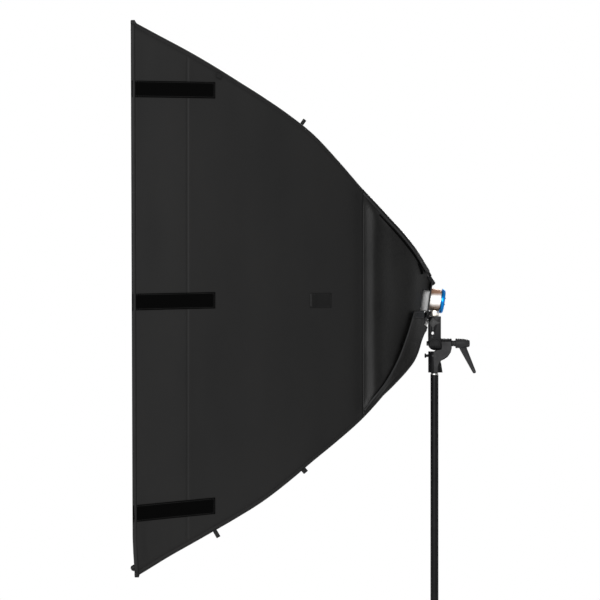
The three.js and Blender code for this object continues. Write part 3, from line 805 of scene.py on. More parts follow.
def stand_point(x, z):
    """A point given in millimetres from the stand's axis and the lamp's axis."""
    return AXIS_X + x * MM, LAMP_Z + z * MM


def curve_through(points, shares):
    """Points on a smooth curve through a few, at shares of its length."""
    points = np.array(points, float)
    lengths = np.concatenate([[0], np.linalg.norm(np.diff(points, axis=0), axis=1).cumsum()])
    slopes = np.gradient(points, lengths, axis=0)
    return np.array([smooth_between(lengths, points, slopes, share * lengths[-1]) for share in shares])


def side_at(side, x, z, lift=0.0):
    """The point on a side wall's cloth at a depth and height."""
    name = "right" if side < 0 else "left"
    (_, z0), _ = wall_ends(name, x)
    return wall_point(name, x, abs(z - z0), lift)


FOLDS = [((-78, -92), (-44, -108)), ((-44, -108), (-58, -146)), ((-110, -168), (-72, -176))]


def fold_mark(x, z):
    """Height of the margin's creases, in metres, at a place in millimetres from the lamp."""
    height = 0.0
    for (xa, za), (xb, zb) in FOLDS:
        run = math.hypot(xb - xa, zb - za)
        along = ((x - xa) * (xb - xa) + (z - za) * (zb - za)) / run
        off = ((x - xa) * (zb - za) - (z - za) * (xb - xa)) / run
        within = smoothstep(-8, 6, along) * (1 - smoothstep(run - 6, run + 8, along))
        height += within * (1.6 * MM * hump(off, 3.5, 3.5) - 2.4 * MM * hump(off, -1.5, 3))
    return height


def bottom_margin(side, shares, lift):
    """Rows of points over the bottom flap's margin, from its inner edge to the box's corner."""
    start_xs = [CREASE_X + 1 * MM, CREASE_X + 18 * MM]
    outer = [((x - AXIS_X) / MM, (bottom(x) - LAMP_Z) / MM) for x in start_xs] + FLAP_CORNER + MARGIN_END
    outer = curve_through(outer, shares)
    inner = curve_through(MARGIN_EDGE, shares)
    rows = []
    for share, a, b in zip(shares, inner, outer):
        row = []
        for across in (0, 0.08, 0.17, 0.26, 0.35, 0.44, 0.53, 0.62, 0.71, 0.8, 0.88, 0.95, 1):
            x, z = stand_point(*(a + (b - a) * across))
            crown = math.sin(math.pi * across) * (1.5 * MM + fold_mark((x - AXIS_X) / MM, (z - LAMP_Z) / MM))
            point = side_at(side, x, max(z, bottom(x) + 0.5 * MM))
            loose = 2.2 * MM * (1 - smoothstep(0, 0.18, across)) * smoothstep(0.1, 0.4, share)
            proud = (lift + crown + loose) * smoothstep(-0.1, 0.25, share)
            point[1] = side * max(abs(point[1]) + 1.4 * MM, half(x) * 0.995) + side * proud
            point[2] = z
            row.append(point)
        rows.append(row)
    return np.array(rows)


FLAP_VALLEY = 9 * MM
FLAP_DROP = 3.2 * MM
FLAP_RISE = 3 * MM
NOTCH_X, NOTCH_HALF = AXIS_X - 36 * MM, 30 * MM


def bottom_margin_grid(side):
    """One margin as it is sewn to the flap."""
    return bottom_margin(side, np.linspace(0, 1, 61), 2.2 * MM)


def bottom_flap():
    """The bottom flap: its level part, with the bracket's notch, and a margin over each side."""
    outers, shapes = {}, []
    for side in (1, -1):
        grid = bottom_margin_grid(side)
        faces = grid_faces(*grid.shape[:2])
        shapes.append((grid.reshape(-1, 3), faces if side < 0 else [tuple(reversed(f)) for f in faces]))
        outers[side] = grid[:, -1]
    level = []
    for left, right in zip(outers[1], outers[-1]):
        x, z, w = left[0], left[2], abs(left[1])
        if x > REAR_X - 0.5 * MM or (level and x < level[-1][0][0]):
            break
        row = [left]
        for share in [0.012, 0.035, *np.linspace(0.07, 0.93, 25), 0.965, 0.988]:
            fall = 4 * share * (1 - share)
            valley = FLAP_VALLEY * (1 - smoothstep(CREASE_X, CREASE_X + 24 * MM, x)) * min(1, fall * 3)
            drop = FLAP_DROP * smoothstep(0, 0.05, fall) * smoothstep(CREASE_X, CREASE_X + 70 * MM, x)
            row.append(np.array([x, w * (1 - 2 * share), z - drop + valley + FLAP_RISE * fall ** 0.7]))
        row.append(right)
        level.append(row)
    level = np.array(level)
    points = level.reshape(-1, 3)
    kept = []
    for face in grid_faces(*level.shape[:2]):
        centre = points[list(face)].mean(axis=0)
        if centre[0] < NOTCH_X or abs(centre[1]) > NOTCH_HALF:
            kept.append(tuple(reversed(face)))
    shapes.append((points, kept))
    verts, faces = join_shapes(shapes)
    uv = [(p[0], p[1] + p[2]) for p in verts]
    made = piece("rear_bottom_flap", verts, faces, REAR_NYLON, "softbox", "rear_nylon", uv,
                 extra=(SILVER_LINING, BINDING))
    work = bmesh.new()
    work.from_mesh(made.data)
    bmesh.ops.remove_doubles(work, verts=work.verts, dist=0.02 * MM)
    work.to_mesh(made.data)
    work.free()
    thicken(made, FLAP_THICKNESS, 1, 2)
    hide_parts("rear_flap_bottom")
    return made, level


flap, flap_level = bottom_flap()
margin_area = 2 * flat_area(bottom_margin_grid(-1))

# ---- tapes, stitches and small trims ----


def resample(path, ups, step):
    """Points and up directions an even distance apart along a path."""
    path, ups = np.asarray(path, float), np.asarray(ups, float)
    lengths = np.concatenate([[0], np.linalg.norm(np.diff(path, axis=0), axis=1).cumsum()])
    count = max(2, int(round(lengths[-1] / step)) + 1)
    marks = np.linspace(0, lengths[-1], count)
    even = np.stack([np.interp(marks, lengths, path[:, k]) for k in range(3)], axis=1)
    tops = np.stack([np.interp(marks, lengths, ups[:, k]) for k in range(3)], axis=1)
    return even, tops / np.linalg.norm(tops, axis=1, keepdims=True)


STITCH_GAP, STITCH_LENGTH, STITCH_WIDTH = 5.5 * MM, 3.6 * MM, 0.55 * MM


def stitch_shapes(path, ups):
    """A row of raised stitches along a path: each a small rounded bar."""
    length, width = STITCH_LENGTH, STITCH_WIDTH
    marks, tops = resample(path, ups, STITCH_GAP)
    shapes = []
    for a, b, up in zip(marks[:-1], marks[1:], tops[:-1]):
        ahead = (b - a) / np.linalg.norm(b - a)
        across = np.cross(up, ahead)
        middle = (a + b) / 2
        ring = [(across, 0.0), (across * 0.5, 0.8), (across * -0.5, 0.8), (across * -1, 0.0)]
        verts = [middle - ahead * length / 2 - up * width * 0.3]
        for share in (-0.32, 0.32):
            place = middle + ahead * length * share
            verts += [place + side * width + up * width * lift for side, lift in ring]
        verts.append(middle + ahead * length / 2 - up * width * 0.3)
        faces = [(0, k + 1, (k + 1) % 4 + 1) for k in range(4)]
        faces += [(k + 1, k + 5, (k + 1) % 4 + 5, (k + 1) % 4 + 1) for k in range(4)]
        faces += [(9, (k + 1) % 4 + 5, k + 5) for k in range(4)]
        shapes.append((verts, faces))
    return shapes


def stitches(name, lines, slot="front_nylon", skin=THREAD):
    """One piece of all the stitches along several lines, each a path and its up directions."""
    shapes = []
    for path, ups in lines:
        shapes += stitch_shapes(path, ups)
    return face_out(piece(name, *join_shapes(shapes), skin, "softbox", slot))


def wall_up(name):
    return np.array([0.0, *WALLS[name]])


def along_wall(name, near_corner, xs, lift, last):
    """A line along a wall, an even distance from one of its corners."""
    path = []
    for x in xs:
        d = wall_length(name, x) - near_corner if last else near_corner
        path.append(wall_point(name, x, d, lift))
    return path, [wall_up(name)] * len(path)


def across_wall(name, x, lift):
    """A line across a wall at one depth."""
    distances = np.linspace(10 * MM, wall_length(name, x) - 10 * MM, 60)
    path = [wall_point(name, x, d, lift) for d in distances]
    return path, [wall_up(name)] * len(path)


channel_lines = []
front_run = np.linspace(FRONT_X + 4 * MM, CREASE_X - 4 * MM, 70)
for wall in WALLS:
    for last in (False, True):
        channel_lines.append(along_wall(wall, CHANNEL + 0.7 * MM, front_run, 0.35 * MM, last))
seam_lines = [across_wall(wall, seam_x + offset, 0.25 * MM) for wall in WALLS for offset in (-4 * MM, 4 * MM)]
front_stitches = stitches("front_stitches", channel_lines + seam_lines)

rear_lines = []
rear_run = np.linspace(CREASE_X + 6 * MM, REAR_X - 3 * MM, 40)
for wall, last in (("right", False), ("left", True)):
    rear_lines.append(along_wall(wall, CHANNEL + 3.5 * MM, rear_run, 0.35 * MM, last))
crease_run = [across_wall(wall, CREASE_X - 5 * MM, 0.25 * MM) for wall in WALLS]
stitches("rear_stitches", rear_lines + crease_run, slot="rear_nylon")

# The flaps' edges are bound with tape, and the bottom flap's margins end in a stitched hem.


def edge_tape(name, path, ups, body, skin=EDGE_TAPE, width=4 * MM, height=2.4 * MM):
    """A flat tape folded over a cloth's edge."""
    section = round_section(width, height, height * 0.42)
    return face_out(piece(name, *swept(path, section, ups), skin, body, "rear_nylon"))


def sideways(side, path):
    """An up direction across the box for each point of a path on one side."""
    return [np.array([0.0, side, 0.0])] * len(path)


flap_trims, hem_lines = [], []
for side, label in SIDES:
    grid = bottom_margin(side, np.linspace(0.02, 1, 70), 2.4 * MM)
    flap_trims.append(edge_tape(f"margin_tape_{label}", grid[:, 0], sideways(side, grid), "softbox"))
    hem = bottom_margin(side, np.linspace(0.94, 0.999, 8), 3.9 * MM)
    flap_trims.append(cloth_sheet(
        f"flap_hem_{label}", hem, HEM, "softbox", "rear_nylon", FLAP_THICKNESS, flip=side > 0, plain=True))
    for row in (hem[1], hem[6]):
        hem_lines.append((row + np.array([0, side * 0.3 * MM, 0]), sideways(side, row)))
flap_trims.append(stitches("hem_stitches", hem_lines, slot="rear_nylon", skin=PALE_THREAD))
round(flat_area(flap_level) + margin_area, 3)
vent_trims = []
for side, label, column in ((1, "left", 0), (-1, "right", -1)):
    path = vent_points[2:, column]
    vent_trims.append(edge_tape(f"vent_tape_{label}", path + np.array([0, side * 0.4 * MM, 1 * MM]),
                                sideways(side, path), "vent_flap"))
declare_sheet(vent_flap, vent_points, with_pieces=vent_trims)


# Points of the broader painted shadow at the strip's lamp end, in millimetres from the stand's and the lamp's
# axes.
SHADOW_WEDGE_POINTS = [(-45, 86), (-41, 78), (-38, 70), (-36, 62)]


def painted_shadow_strips(side, label):
    """Dark strips put where there is only shade: a painted shadow line under the top flap's edge, which widens
    into a broader painted shadow at its lamp end.
    """
    path = []
    for point in vent_points[14:-3, 0 if side > 0 else -1]:
        x, z = point[0] - 3.2 * MM, point[2] - 4.4 * MM
        path.append(side_at(side, x, z, 0.7 * MM))
    shadow_wedge = [side_at(side, *stand_point(x, z), 0.8 * MM) for x, z in SHADOW_WEDGE_POINTS]
    parts = (("seam", path, 3.6 * MM, 1.2 * MM), ("shadow_wedge", shadow_wedge, 9 * MM, 1.4 * MM))
    # Both pieces are painted shadow in the darkest cloth, not a real seam or sleeve mouth.
    return [
        edge_tape(f"sleeve_{part}_{label}", line, sideways(side, line), "softbox", HOOK_LOOP, width, height)
        for part, line, width, height in parts
    ]


# Each rear side panel gets the painted shadow strips under the top flap's edge.
for side, label in SIDES:
    made, points = rear_sides[side]
    declare_sheet(made, points,
                  with_pieces=painted_shadow_strips(side, label))


def binding():
    """The tape folded over the box's front edge, all the way round."""
    path = np.array(box_ring(FRONT_X + 0.1 * MM))
    ahead = np.roll(path, -1, axis=0) - np.roll(path, 1, axis=0)
    ups = np.stack([0 * ahead[:, 0], ahead[:, 2], -ahead[:, 1]], axis=1)
    ups /= np.linalg.norm(ups, axis=1, keepdims=True)
    middle = np.array([FRONT_X, 0, LAMP_Z])
    if ((path - middle) * ups).sum() < 0:
        ups = -ups
    width, fold = 8 * MM, 0.7 * MM
    section = [
        (width, fold), (width * 0.5, fold * 1.15), (-0.2 * MM, fold), (-1.1 * MM, 0.2 * MM),
        (-1.1 * MM, -1.3 * MM),
        (-0.2 * MM, -1.1 * MM - fold), (width, -1.1 * MM - fold), (width, -1.2 * MM), (0.1 * MM, -1.15 * MM),
        (0.1 * MM, 0.05 * MM), (width, 0.05 * MM),
    ]
    verts = []
    for point, up in zip(path, ups):
        verts += [point + np.array([a, 0, 0]) + b * up for a, b in section]
    uv = [(v[0], v[1] + v[2]) for v in verts]
    faces = ring_faces(len(path), len(section))
    tape = face_out(piece("front_binding", verts, faces, BINDING, "softbox", "front_nylon", uv))
    line = path + ups * (fold * 1.2) + np.array([6 * MM, 0, 0])
    line = np.concatenate([line, line[:1]])
    return tape, stitches("binding_stitches", [(line, np.concatenate([ups, ups[:1]]))])


front_binding, binding_stitches = binding()


def wall_patch(name, side, x_range, centre, width, rise, lift, skin, columns=10, rows=30):
    """A flat patch sewn on a side wall. centre is its height at its front end."""
    xs = np.linspace(*x_range, rows)
    inset = 2.5 * MM
    front, back = xs[0] + inset, xs[-1] - inset

    def on_patch(x, off, height):
        middle = centre + rise * (x - xs[0]) / (xs[-1] - xs[0])
        return side_at(side, x, middle + off, height)

    shares = np.linspace(0.5, -0.5, columns)
    points = np.array([[on_patch(x, share * width, lift) for share in shares] for x in xs])
    made = cloth_sheet(name, points, skin, "softbox", "front_nylon", lift + 0.1 * MM, flip=side > 0,
                       plain=True)
    edge = [(front, -1), (back, -1), (back, 1), (front, 1), (front, -1)]
    lines = []
    for (xa, a), (xb, b) in zip(edge[:-1], edge[1:]):
        path = [on_patch(xa + (xb - xa) * t, (a + (b - a) * t) * (width / 2 - inset), lift + 0.2 * MM)
                for t in np.linspace(0, 1, 24)]
        lines.append((path, sideways(side, path)))
    return made, lines


STRIP_LENGTH = 180 * MM
STRIP_WIDTH = 36 * MM
STRIPS = [(460.5 * MM, 5.5 * MM), (-4.5 * MM, 4 * MM), (-466 * MM, 9 * MM)]
patches, patch_lines = [], []
for side, label in SIDES:
    for k, (height, rise) in enumerate(STRIPS, 1):
        made, lines = wall_patch(
            f"hook_strip_{label}_{k}", side, (FRONT_X + 0.5 * MM, FRONT_X + STRIP_LENGTH),
            LAMP_Z + height, STRIP_WIDTH, rise, 1.9 * MM, HOOK_LOOP)
        patches.append(made)
        patch_lines += lines
made, lines = wall_patch(
    "side_label", -1, (FRONT_X + 392 * MM, FRONT_X + 441 * MM), LAMP_Z - 1 * MM, 34 * MM, 0, 1.0 * MM, LABEL,
    8, 10)
patches.append(made)
patch_lines += lines
patch_stitches = stitches("patch_stitches", patch_lines)
declare_sheet(front_canopy, front_points,
              True,
              [front_binding, binding_stitches, front_stitches, patch_stitches, *patches])


def ribbon(name, base, along, out, size, thickness):
    """A small folded ribbon tab: a flat loop that leaves a seam and comes back to it."""
    base, along, out = (np.array(v, float) for v in (base, along, out))
    along /= np.linalg.norm(along)
    out -= along * out.dot(along)
    out /= np.linalg.norm(out)
    normal = np.cross(along, out)
    width, reach = size
    fold = thickness * 1.4
    path, ups = [], []
    for angle in np.linspace(-90, 270, 19)[:-1]:
        a = math.radians(angle)
        stretch_out = reach / 2 + (reach / 2 - fold) * math.copysign(abs(math.sin(a)) ** 0.35, math.sin(a))
        path.append(base + out * (stretch_out - 0.8 * MM) + normal * fold * math.cos(a))
        ups.append(normal * math.cos(a) + out * math.sin(a))
    section = round_section(width, thickness, thickness * 0.4)
    face_out(piece(name, *swept(path, section, ups, True), BINDING, "softbox", "front_nylon"))


def seam_point(x, side, up):
    """The box's corner at a depth, on one side, above or below."""
    z = top(x) if up > 0 else bottom(x)
    return np.array([x, side * half(x), z])


def seam_along(x, side, up):
    return seam_point(x + MM, side, up) - seam_point(x - MM, side, up)


# Each tab's depth behind the front edge, whether it is above or below, its shift from the seam, the way it
# points, its size and its thickness, in millimetres.
TABS = {
    "upper_front": (190, 1, (0.5, -9), (0.3, 0.25, -1), (11, 14), 1.0),
    "upper_rear": (372, 1, (0, 0), (0, 0.25, 1), (8, 15), 1.0),
    "lower_front": (179, -1, (0, 0), (0.15, 0.3, -1), (9, 19), 1.0),
    "lower_rear": (376, -1, (0, 0), (0.2, 0.3, -1), (12, 11), 0.9),
}
for side, label in SIDES:
    for place, (depth, up, (aside, rise), points_to, size, thickness) in TABS.items():
        x = FRONT_X + depth * MM
        base = seam_point(x, side, up) + np.array([0, side * aside * MM, rise * MM])
        out = (points_to[0], side * points_to[1], points_to[2])
        ribbon(f"tab_{place}_{label}", base, seam_along(x, side, up), out, np.array(size) * MM,
               thickness * MM)


# ---- the two white cloths inside ----

def cross_cloth(name, cad_node, corner, bulge, clear):
    """A cloth stretched across the box with its corners cut off. Returns the points of its rim."""
    low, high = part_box(cad_node)
    wide, tall = (high.y - low.y) / 2 - clear, (high.z - low.z) / 2 - clear
    middle = Vector(((low.x + high.x) / 2, 0, (low.z + high.z) / 2))
    steps = np.linspace(-1, 1, 33)
    rows = []
    for v in steps:
        row = []
        for u in steps:
            edge = max(abs(u), abs(v), 1e-6)
            a, b = abs(u) / edge * wide, abs(v) / edge * tall
            k = min(1.0, (wide + tall - corner) / max(a + b, 1e-6))
            y, z = u * wide * k, v * tall * k
            fall = (1 - u * u) * (1 - v * v)
            p = Vector((y * 6, z * 6, middle.x * 10))
            ripple = 1.2 * MM * noise.noise(p) * (1 - fall) + 0.8 * MM * noise.noise(p * 2.7)
            row.append((middle.x - bulge * fall + ripple, y, middle.z + z - 3 * MM * fall))
        rows.append(row)
    points = np.array(rows)
    made = cloth_sheet(name, points, WHITE_CLOTH, "softbox", "diffuser_cloth", 0.9 * MM, plain=True)
    made.modifiers["thickness"].offset = 0
    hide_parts(cad_node)
    declare_sheet(made, points)
    return np.concatenate([points[0], points[1:, -1], points[-1, :-1][::-1], points[1:-1, 0][::-1]])


diffuser_rim = cross_cloth("front_diffuser_cloth", "front_diffuser", 36 * MM, 5 * MM, 3 * MM)
cross_cloth("inner_baffle_cloth", "inner_baffle", 62 * MM, 4 * MM, 0)


def rim_band(name, rim, width, thickness, skin, shift):
    """A band sewn round a cloth's rim, on its front face."""
    centre = rim.mean(axis=0)
    away = rim - centre
    away[:, 0] = 0
    away /= np.linalg.norm(away, axis=1, keepdims=True)
    path = rim - away * width / 2 + np.array([shift, 0, 0])
    ups = np.tile(np.array([-1.0, 0, 0]), (len(path), 1))
    verts, faces = swept(path, round_section(width, thickness, thickness * 0.4), ups, True)
    face_out(piece(name, verts, faces, skin, "softbox", "diffuser_cloth", [(v[1], v[2]) for v in verts]))


rim_band("diffuser_rim", diffuser_rim, 22 * MM, 1.6 * MM, BINDING, -0.9 * MM)

# ---- the lamp head ----

LAMP_CENTRE = Vector((AXIS_X, 0, LAMP_Z))
HEAD_AXIS = Vector((math.cos(HEAD_LEAN), 0, -math.sin(HEAD_LEAN)))
HEAD_UP = Vector((math.sin(HEAD_LEAN), 0, math.cos(HEAD_LEAN)))


def in_head(x, y, z):
    """A point given in millimetres along the leaning lamp head."""
    return LAMP_CENTRE + (HEAD_AXIS * x + Vector((0, y, 0)) + HEAD_UP * z) * MM


def solid(name, shape, skin, body, slot, stands_for=(), angle=32):
    """A closed hard piece with its faces out and its edges kept."""
    made = sharpen(face_out(piece(name, *shape, skin, body, slot)), angle)
    if stands_for:
        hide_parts(*stands_for)


def turned(profile, centre, axis, sides=64):
    """A turned shape from a profile in millimetres."""
    return lathe([(radius * MM, distance * MM) for radius, distance in profile], centre, axis, sides)


FIN_ROOT, FIN_COUNT, FIN_PITCH = 24.6, 9, 2.85
FINS_START, FINS_END = -12.2, 13.6
fin_profile = [(0, FINS_START)]
for k in range(FIN_COUNT):
    start = FINS_START + FIN_PITCH * k
    fin_profile += [(FIN_OUT - 0.25, start), (FIN_OUT, start + 0.25), (FIN_OUT, start + 1.25),
                    (FIN_OUT - 0.25, start + 1.5), (FIN_ROOT, start + 1.6), (FIN_ROOT, start + 2.7)]
fin_profile[-1:] = [(FIN_ROOT, FINS_END), (0, FINS_END)]
solid("lamp_housing_fins", turned(fin_profile, LAMP_CENTRE, HEAD_AXIS, 96), FIN_METAL,
      "softbox", "fin_aluminium", ["lamp_housing"])

KNURL_COUNT = 36
BAR_FACES = [(0, 1, 2, 3), (7, 6, 5, 4), (0, 4, 5, 1), (1, 5, 6, 2), (2, 6, 7, 3), (3, 7, 4, 0)]
ring_profile = [(0, 14), (27.2, 14), (28.2, 14.3), (29.7, 15.6), (30, 16.2), (30, 17.6), (29.2, 17.9),
                (29.2, 18.4), (30, 18.7), (30, 20.6), (29.6, 21.3), (28, 23.2), (27.4, 23.4), (20.4, 23.4),
                (19.6, 23), (18.4, 22.1), (17.8, 22), (9, 22), (8.6, 21.5), (0, 21.5)]
solid("rear_ring_cap", turned(ring_profile, LAMP_CENTRE, HEAD_AXIS, 96), BLUE_METAL,
      "softbox", "blue_aluminium", ["rear_ring"])
notches = []
for k in range(KNURL_COUNT):
    angle = 2 * math.pi * k / KNURL_COUNT
    y, z = math.sin(angle), math.cos(angle)
    across = in_head(0, z, -y) - in_head(0, 0, 0)
    outer = in_head(0, y, z) - in_head(0, 0, 0)
    base = [in_head(x, y * 29.4, z * 29.4) for x in (18.9, 20.5)]
    verts = []
    for point in base:
        for side, reach in ((-1, 0), (-0.6, 0.9), (0.6, 0.9), (1, 0)):
            verts.append(point + across * side * 1.3 + outer * reach)
    notches.append((verts, BAR_FACES))
solid("rear_ring_grip", join_shapes(notches), BLUE_METAL, "softbox", "blue_aluminium")
for name, height in (("upper", 7.5), ("lower", -7.5)):
    cap = [(0, 21.3), (3.2, 21.3), (3.2, 23.6), (2.7, 24.1), (1.7, 24.1), (1.7, 26.2), (1.2, 26.7), (0, 26.7)]
    solid(f"rear_terminal_{name}", turned(cap, in_head(0, 0, height), HEAD_AXIS, 24), DULL_STEEL,
          "softbox", "steel", [f"rear_screw_{name}"])


def loops_solid(loops):
    """A closed solid through closed loops of points, the last loop joined back to the first."""
    loops = np.array(loops, float)
    return loops.reshape(-1, 3), ring_faces(*loops.shape[:2])


def rounded_square(half_size, radius, sides):
    """Points round a square with rounded corners, at even angles."""
    points = []
    for k in range(sides):
        angle = 2 * math.pi * (k + 0.5) / sides
        c, s = math.cos(angle), math.sin(angle)
        straight = half_size / max(abs(c), abs(s))
        y, z = straight * c, straight * s
        inner = half_size - radius
        if abs(y) > inner and abs(z) > inner:
            b = inner * (abs(c) + abs(s))
            reach = b + math.sqrt(max(b * b - 2 * inner * inner + radius * radius, 0))
            y, z = reach * c, reach * s
        points.append((y, z))
    return points


RING_SIDES = 96
RING_FOOT = 3.6
RING_BORE = 19
RING_START, RING_END = -34.8, -16.0
ring_rows = [(RING_START, 24.6)]
for k in range(6):
    start = -34.4 + 3.3 * k
    ring_rows += [(start, 26.7), (start + 0.3, 27.0), (start + 1.9, 27.0), (start + 2.1, 25.7),
                  (start + 3.1, 25.7)]
ring_rows = [r for r in ring_rows if r[0] < -16.4] + [(-16.4, 27.0), (RING_END, 26.6)]
angles = [2 * math.pi * (k + 0.5) / RING_SIDES for k in range(RING_SIDES)]
bore = [(RING_BORE * math.cos(a), RING_BORE * math.sin(a)) for a in angles]
loops = [[in_head(RING_START, y, z) for y, z in bore]]
for x, half_size in ring_rows:
    outline = rounded_square(half_size, 4.0, RING_SIDES)
    loops.append([in_head(x, y, z - RING_FOOT * smoothstep(0, -27, z)) for y, z in outline])
loops.append([in_head(RING_END, y, z) for y, z in bore])
solid("speed_ring_block", loops_solid(loops), RING_METAL, "softbox", "raw_aluminium", ["speed_ring"])

# The CAD parts whose shape is right get softened edges and a finish.
dressed("speed_ring_mount", "speed_ring_plate", CAST_BLACK, 0.7 * MM)
dressed("stud_body", "mount_stud", SATIN_CAST, 0.6 * MM)
dressed("lamp_socket_body", "lamp_socket", CERAMIC, 0.8 * MM)
bulb_profile = [(0, -38.5), (12, -38.5), (12.4, -39), (12.4, -52), (15, -58), (22, -70), (27, -82), (30, -92),
                (31, -100), (30, -110), (26, -120), (19, -128.5), (10, -133.6), (0, -135)]
solid("frosted_bulb", turned(bulb_profile, LAMP_CENTRE, HEAD_AXIS, 48), BULB_GLASS,
      "softbox", "frosted_glass", ["lamp_bulb"], 60)
for rod in ("top_left", "top_right", "bottom_left", "bottom_right"):
    dressed(f"corner_cap_{rod}", f"corner_pocket_{rod}", PLASTIC, 0.5 * MM)
    finishes = frame["nodes"][f"rod_{rod}"].data.materials
    finishes.clear()
    finishes.append(FIBREGLASS)

# ---- the umbrella bracket ----


def at_stand(x, y, z):
    """A point in millimetres from the stand's axis and the lamp's axis."""
    return Vector((AXIS_X + x * MM, y * MM, LAMP_Z + z * MM))


def slab(outline, low, high, inset=0.6, grow=None):
    """An [x, z] outline thickened across Y, with its outer face's edge cut back a little."""
    points = np.array(outline, float)
    middle = points.mean(axis=0) if grow is None else np.array(grow, float)
    away = points - middle
    small = middle + away * (1 - inset / np.linalg.norm(away, axis=1, keepdims=True))
    direction = 1 if high > low else -1
    layers = [(points, low), (points, high - direction * inset), (small, high)]
    verts = [at_stand(x, y, z) for layer, y in layers for x, z in layer]
    return verts, capped_faces(len(layers), len(points))


def circle(x, z, radius, count=40):
    return [(x + radius * math.cos(2 * math.pi * k / count), z + radius * math.sin(2 * math.pi * k / count))
            for k in range(count)]


def above(outline, lowest):
    """An outline cut off level, so that it stays clear of what it turns past."""
    return [(x, max(z, lowest)) for x, z in outline if z > lowest - 3]


def star(x, z, points):
    """A four-pointed outline: the reach of each point and of the waists between them."""
    right, up, left, down, waist = points
    w = waist * 0.7071
    return [(x + right, z), (x + w, z + w), (x, z + up), (x - w, z + w),
            (x - left, z), (x - w, z - w), (x, z - down), (x + w, z - w)]


PIVOT = -106
dressed("receiver_body", "bracket_receiver", CAST_BLACK, 1.0 * MM)
for side, label in SIDES:
    face = side * 13.7
    # The relief's lighter grey is a painted highlight on the black casting.
    relief = [
        slab(star(-4.8, -55.5, (18.6, 13.6, 9.6, 14.2, 8.2)), face, side * 15.1, 1.2, (-4.8, -55.5)),
        slab(star(-4.8, -55.5, (9, 9, 7.5, 9, 6)), side * 14.6, side * 15.9, 1.6, (-4.8, -55.5)),
        slab([(-6.4, -68), (-3.2, -68), (-3.2, -74.5), (-6.4, -74.5)], face, side * 14.9, 0.7),
    ]
    solid(f"receiver_relief_{label}", join_shapes(relief), RELIEF_PAINTED_HIGHLIGHT, "receiver", "black_casting")
    rims = [
        turned([(4.25, 13.7), (6.4, 13.7), (6.4, 14.5), (5.9, 14.9), (4.25, 14.9), (4.25, 13.7)],
               at_stand(-4.6, 0, -81), (0, side, 0), 32),
        slab(above(circle(0, -108, 13.2), -113.2), face, side * 14.9, 0.9),
        slab(above(circle(0, -108, 9.6), -112.2), side * 14.5, side * 15.5, 0.9),
        slab([(-13.6, -95.2), (13.6, -95.2), (13.6, -92.6), (-13.6, -92.6)], face, side * 14.7, 0.5),
    ]
    solid(f"receiver_trim_{label}", join_shapes(rims), CAST_BLACK, "receiver", "black_casting")

dressed("bracket_body", "bracket_casting", CAST_BLACK, 1.1 * MM)
boss = [(11.5, 15.9), (13.0, 15.9), (13.0, 17.6), (12.2, 18), (12.2, 22), (13.0, 22.4), (13.0, 24.4),
        (12.2, 24.8), (12.2, 32), (13.0, 32.4), (13.0, 34.4), (12.2, 34.8), (12.2, 38.8), (13.0, 39.2),
        (13.0, 41.0), (12.4, 41.5), (11.5, 41.5), (11.5, 15.9)]
solid("pivot_boss_grooves", turned(boss, at_stand(0, 0, PIVOT - 0.5), (1, 0, 0), 56), CAST_BLACK,
      "bracket", "black_casting")
face_line = curve_through([(39.6, -101.5), (40.3, -116), (36.5, -128.5), (28.5, -138.2), (18.5, -144.8),
                           (11, -152), (7.2, -161), (6.2, -176)], np.linspace(0, 1, 22))
back_line = [(-2.6, -176), (-2.6, -128.6), (0.6, -125.2), (4.6, -122), (12, -121.4), (16.8, -119.5),
             (17.2, -101.5)]
for side, label in SIDES:
    # The webs' lighter grey is a painted highlight.
    web = [
        slab([*face_line, *back_line], side * 8.4, side * 15.4, 0.8, (18, -128)),
        slab(circle(-4.6, -135.8, 3.2, 24), side * 14.2, side * 16.2, 0.6),
    ]
    solid(f"bracket_ribs_{label}", join_shapes(web), CAST_PAINTED_HIGHLIGHT, "bracket", "black_casting")
dressed("pivot_bolt_body", "pivot_bolt", DULL_STEEL, 0.4 * MM)

hub = [(0, 42), (6.6, 42), (7.3, 42.6), (7.3, 45.2), (6.5, 45.6), (6.5, 46.8), (7.3, 47.2), (7.3, 51.4),
       (11.2, 51.6), (12, 52.4), (12, 55.2), (11.3, 55.8), (11.3, 57), (11.7, 57.5), (11.6, 69), (10.8, 75),
       (9.6, 80.6), (8.6, 84.4), (7.2, 85.8), (5.6, 86), (5.2, 85.3), (0, 85.3)]
lever_hub = turned(hub, at_stand(0, 0, PIVOT), (1, 0, 0))
ARM_STEPS = 26
ARM_HALF_WIDTHS = {0: 8.8, 0.12: 8.6, 0.5: 6.6, 0.9: 4.5, 0.97: 4.1, 1: 2.6}
arm_shares = np.linspace(0, 1, ARM_STEPS)
arm_path = curve_through([(66, -108), (70, -117.4), (80, -138.8), (90, -160), (98.8, -178.6)], arm_shares)
arm_half = np.interp(arm_shares, list(ARM_HALF_WIDTHS), list(ARM_HALF_WIDTHS.values()))
arm_rows = []
for k, ((x, z), reach) in enumerate(zip(arm_path, arm_half)):
    before, after = arm_path[max(k - 1, 0)], arm_path[min(k + 1, ARM_STEPS - 1)]
    ahead = (after - before) / np.linalg.norm(after - before)
    across = np.array([ahead[1], -ahead[0]])
    thick = 4.5 * (reach / 8.6) ** 0.35
    groove = 0.9 if 0.14 < k / (ARM_STEPS - 1) < 0.9 else 0.0
    floor_of_groove = 1 - groove * 0.28
    section = [(1, 0.35), (0.82, 0.9), (0.5, 1), (0.42, floor_of_groove), (-0.42, floor_of_groove), (-0.5, 1),
               (-0.82, 0.9), (-1, 0.35)]
    section += [(a, -b) for a, b in reversed(section)]
    arm_rows.append([
        at_stand(x + across[0] * reach * a, thick * b, z + across[1] * reach * a) for a, b in section
    ])
arm = ([v for row in arm_rows for v in row], capped_faces(ARM_STEPS, len(arm_rows[0])))
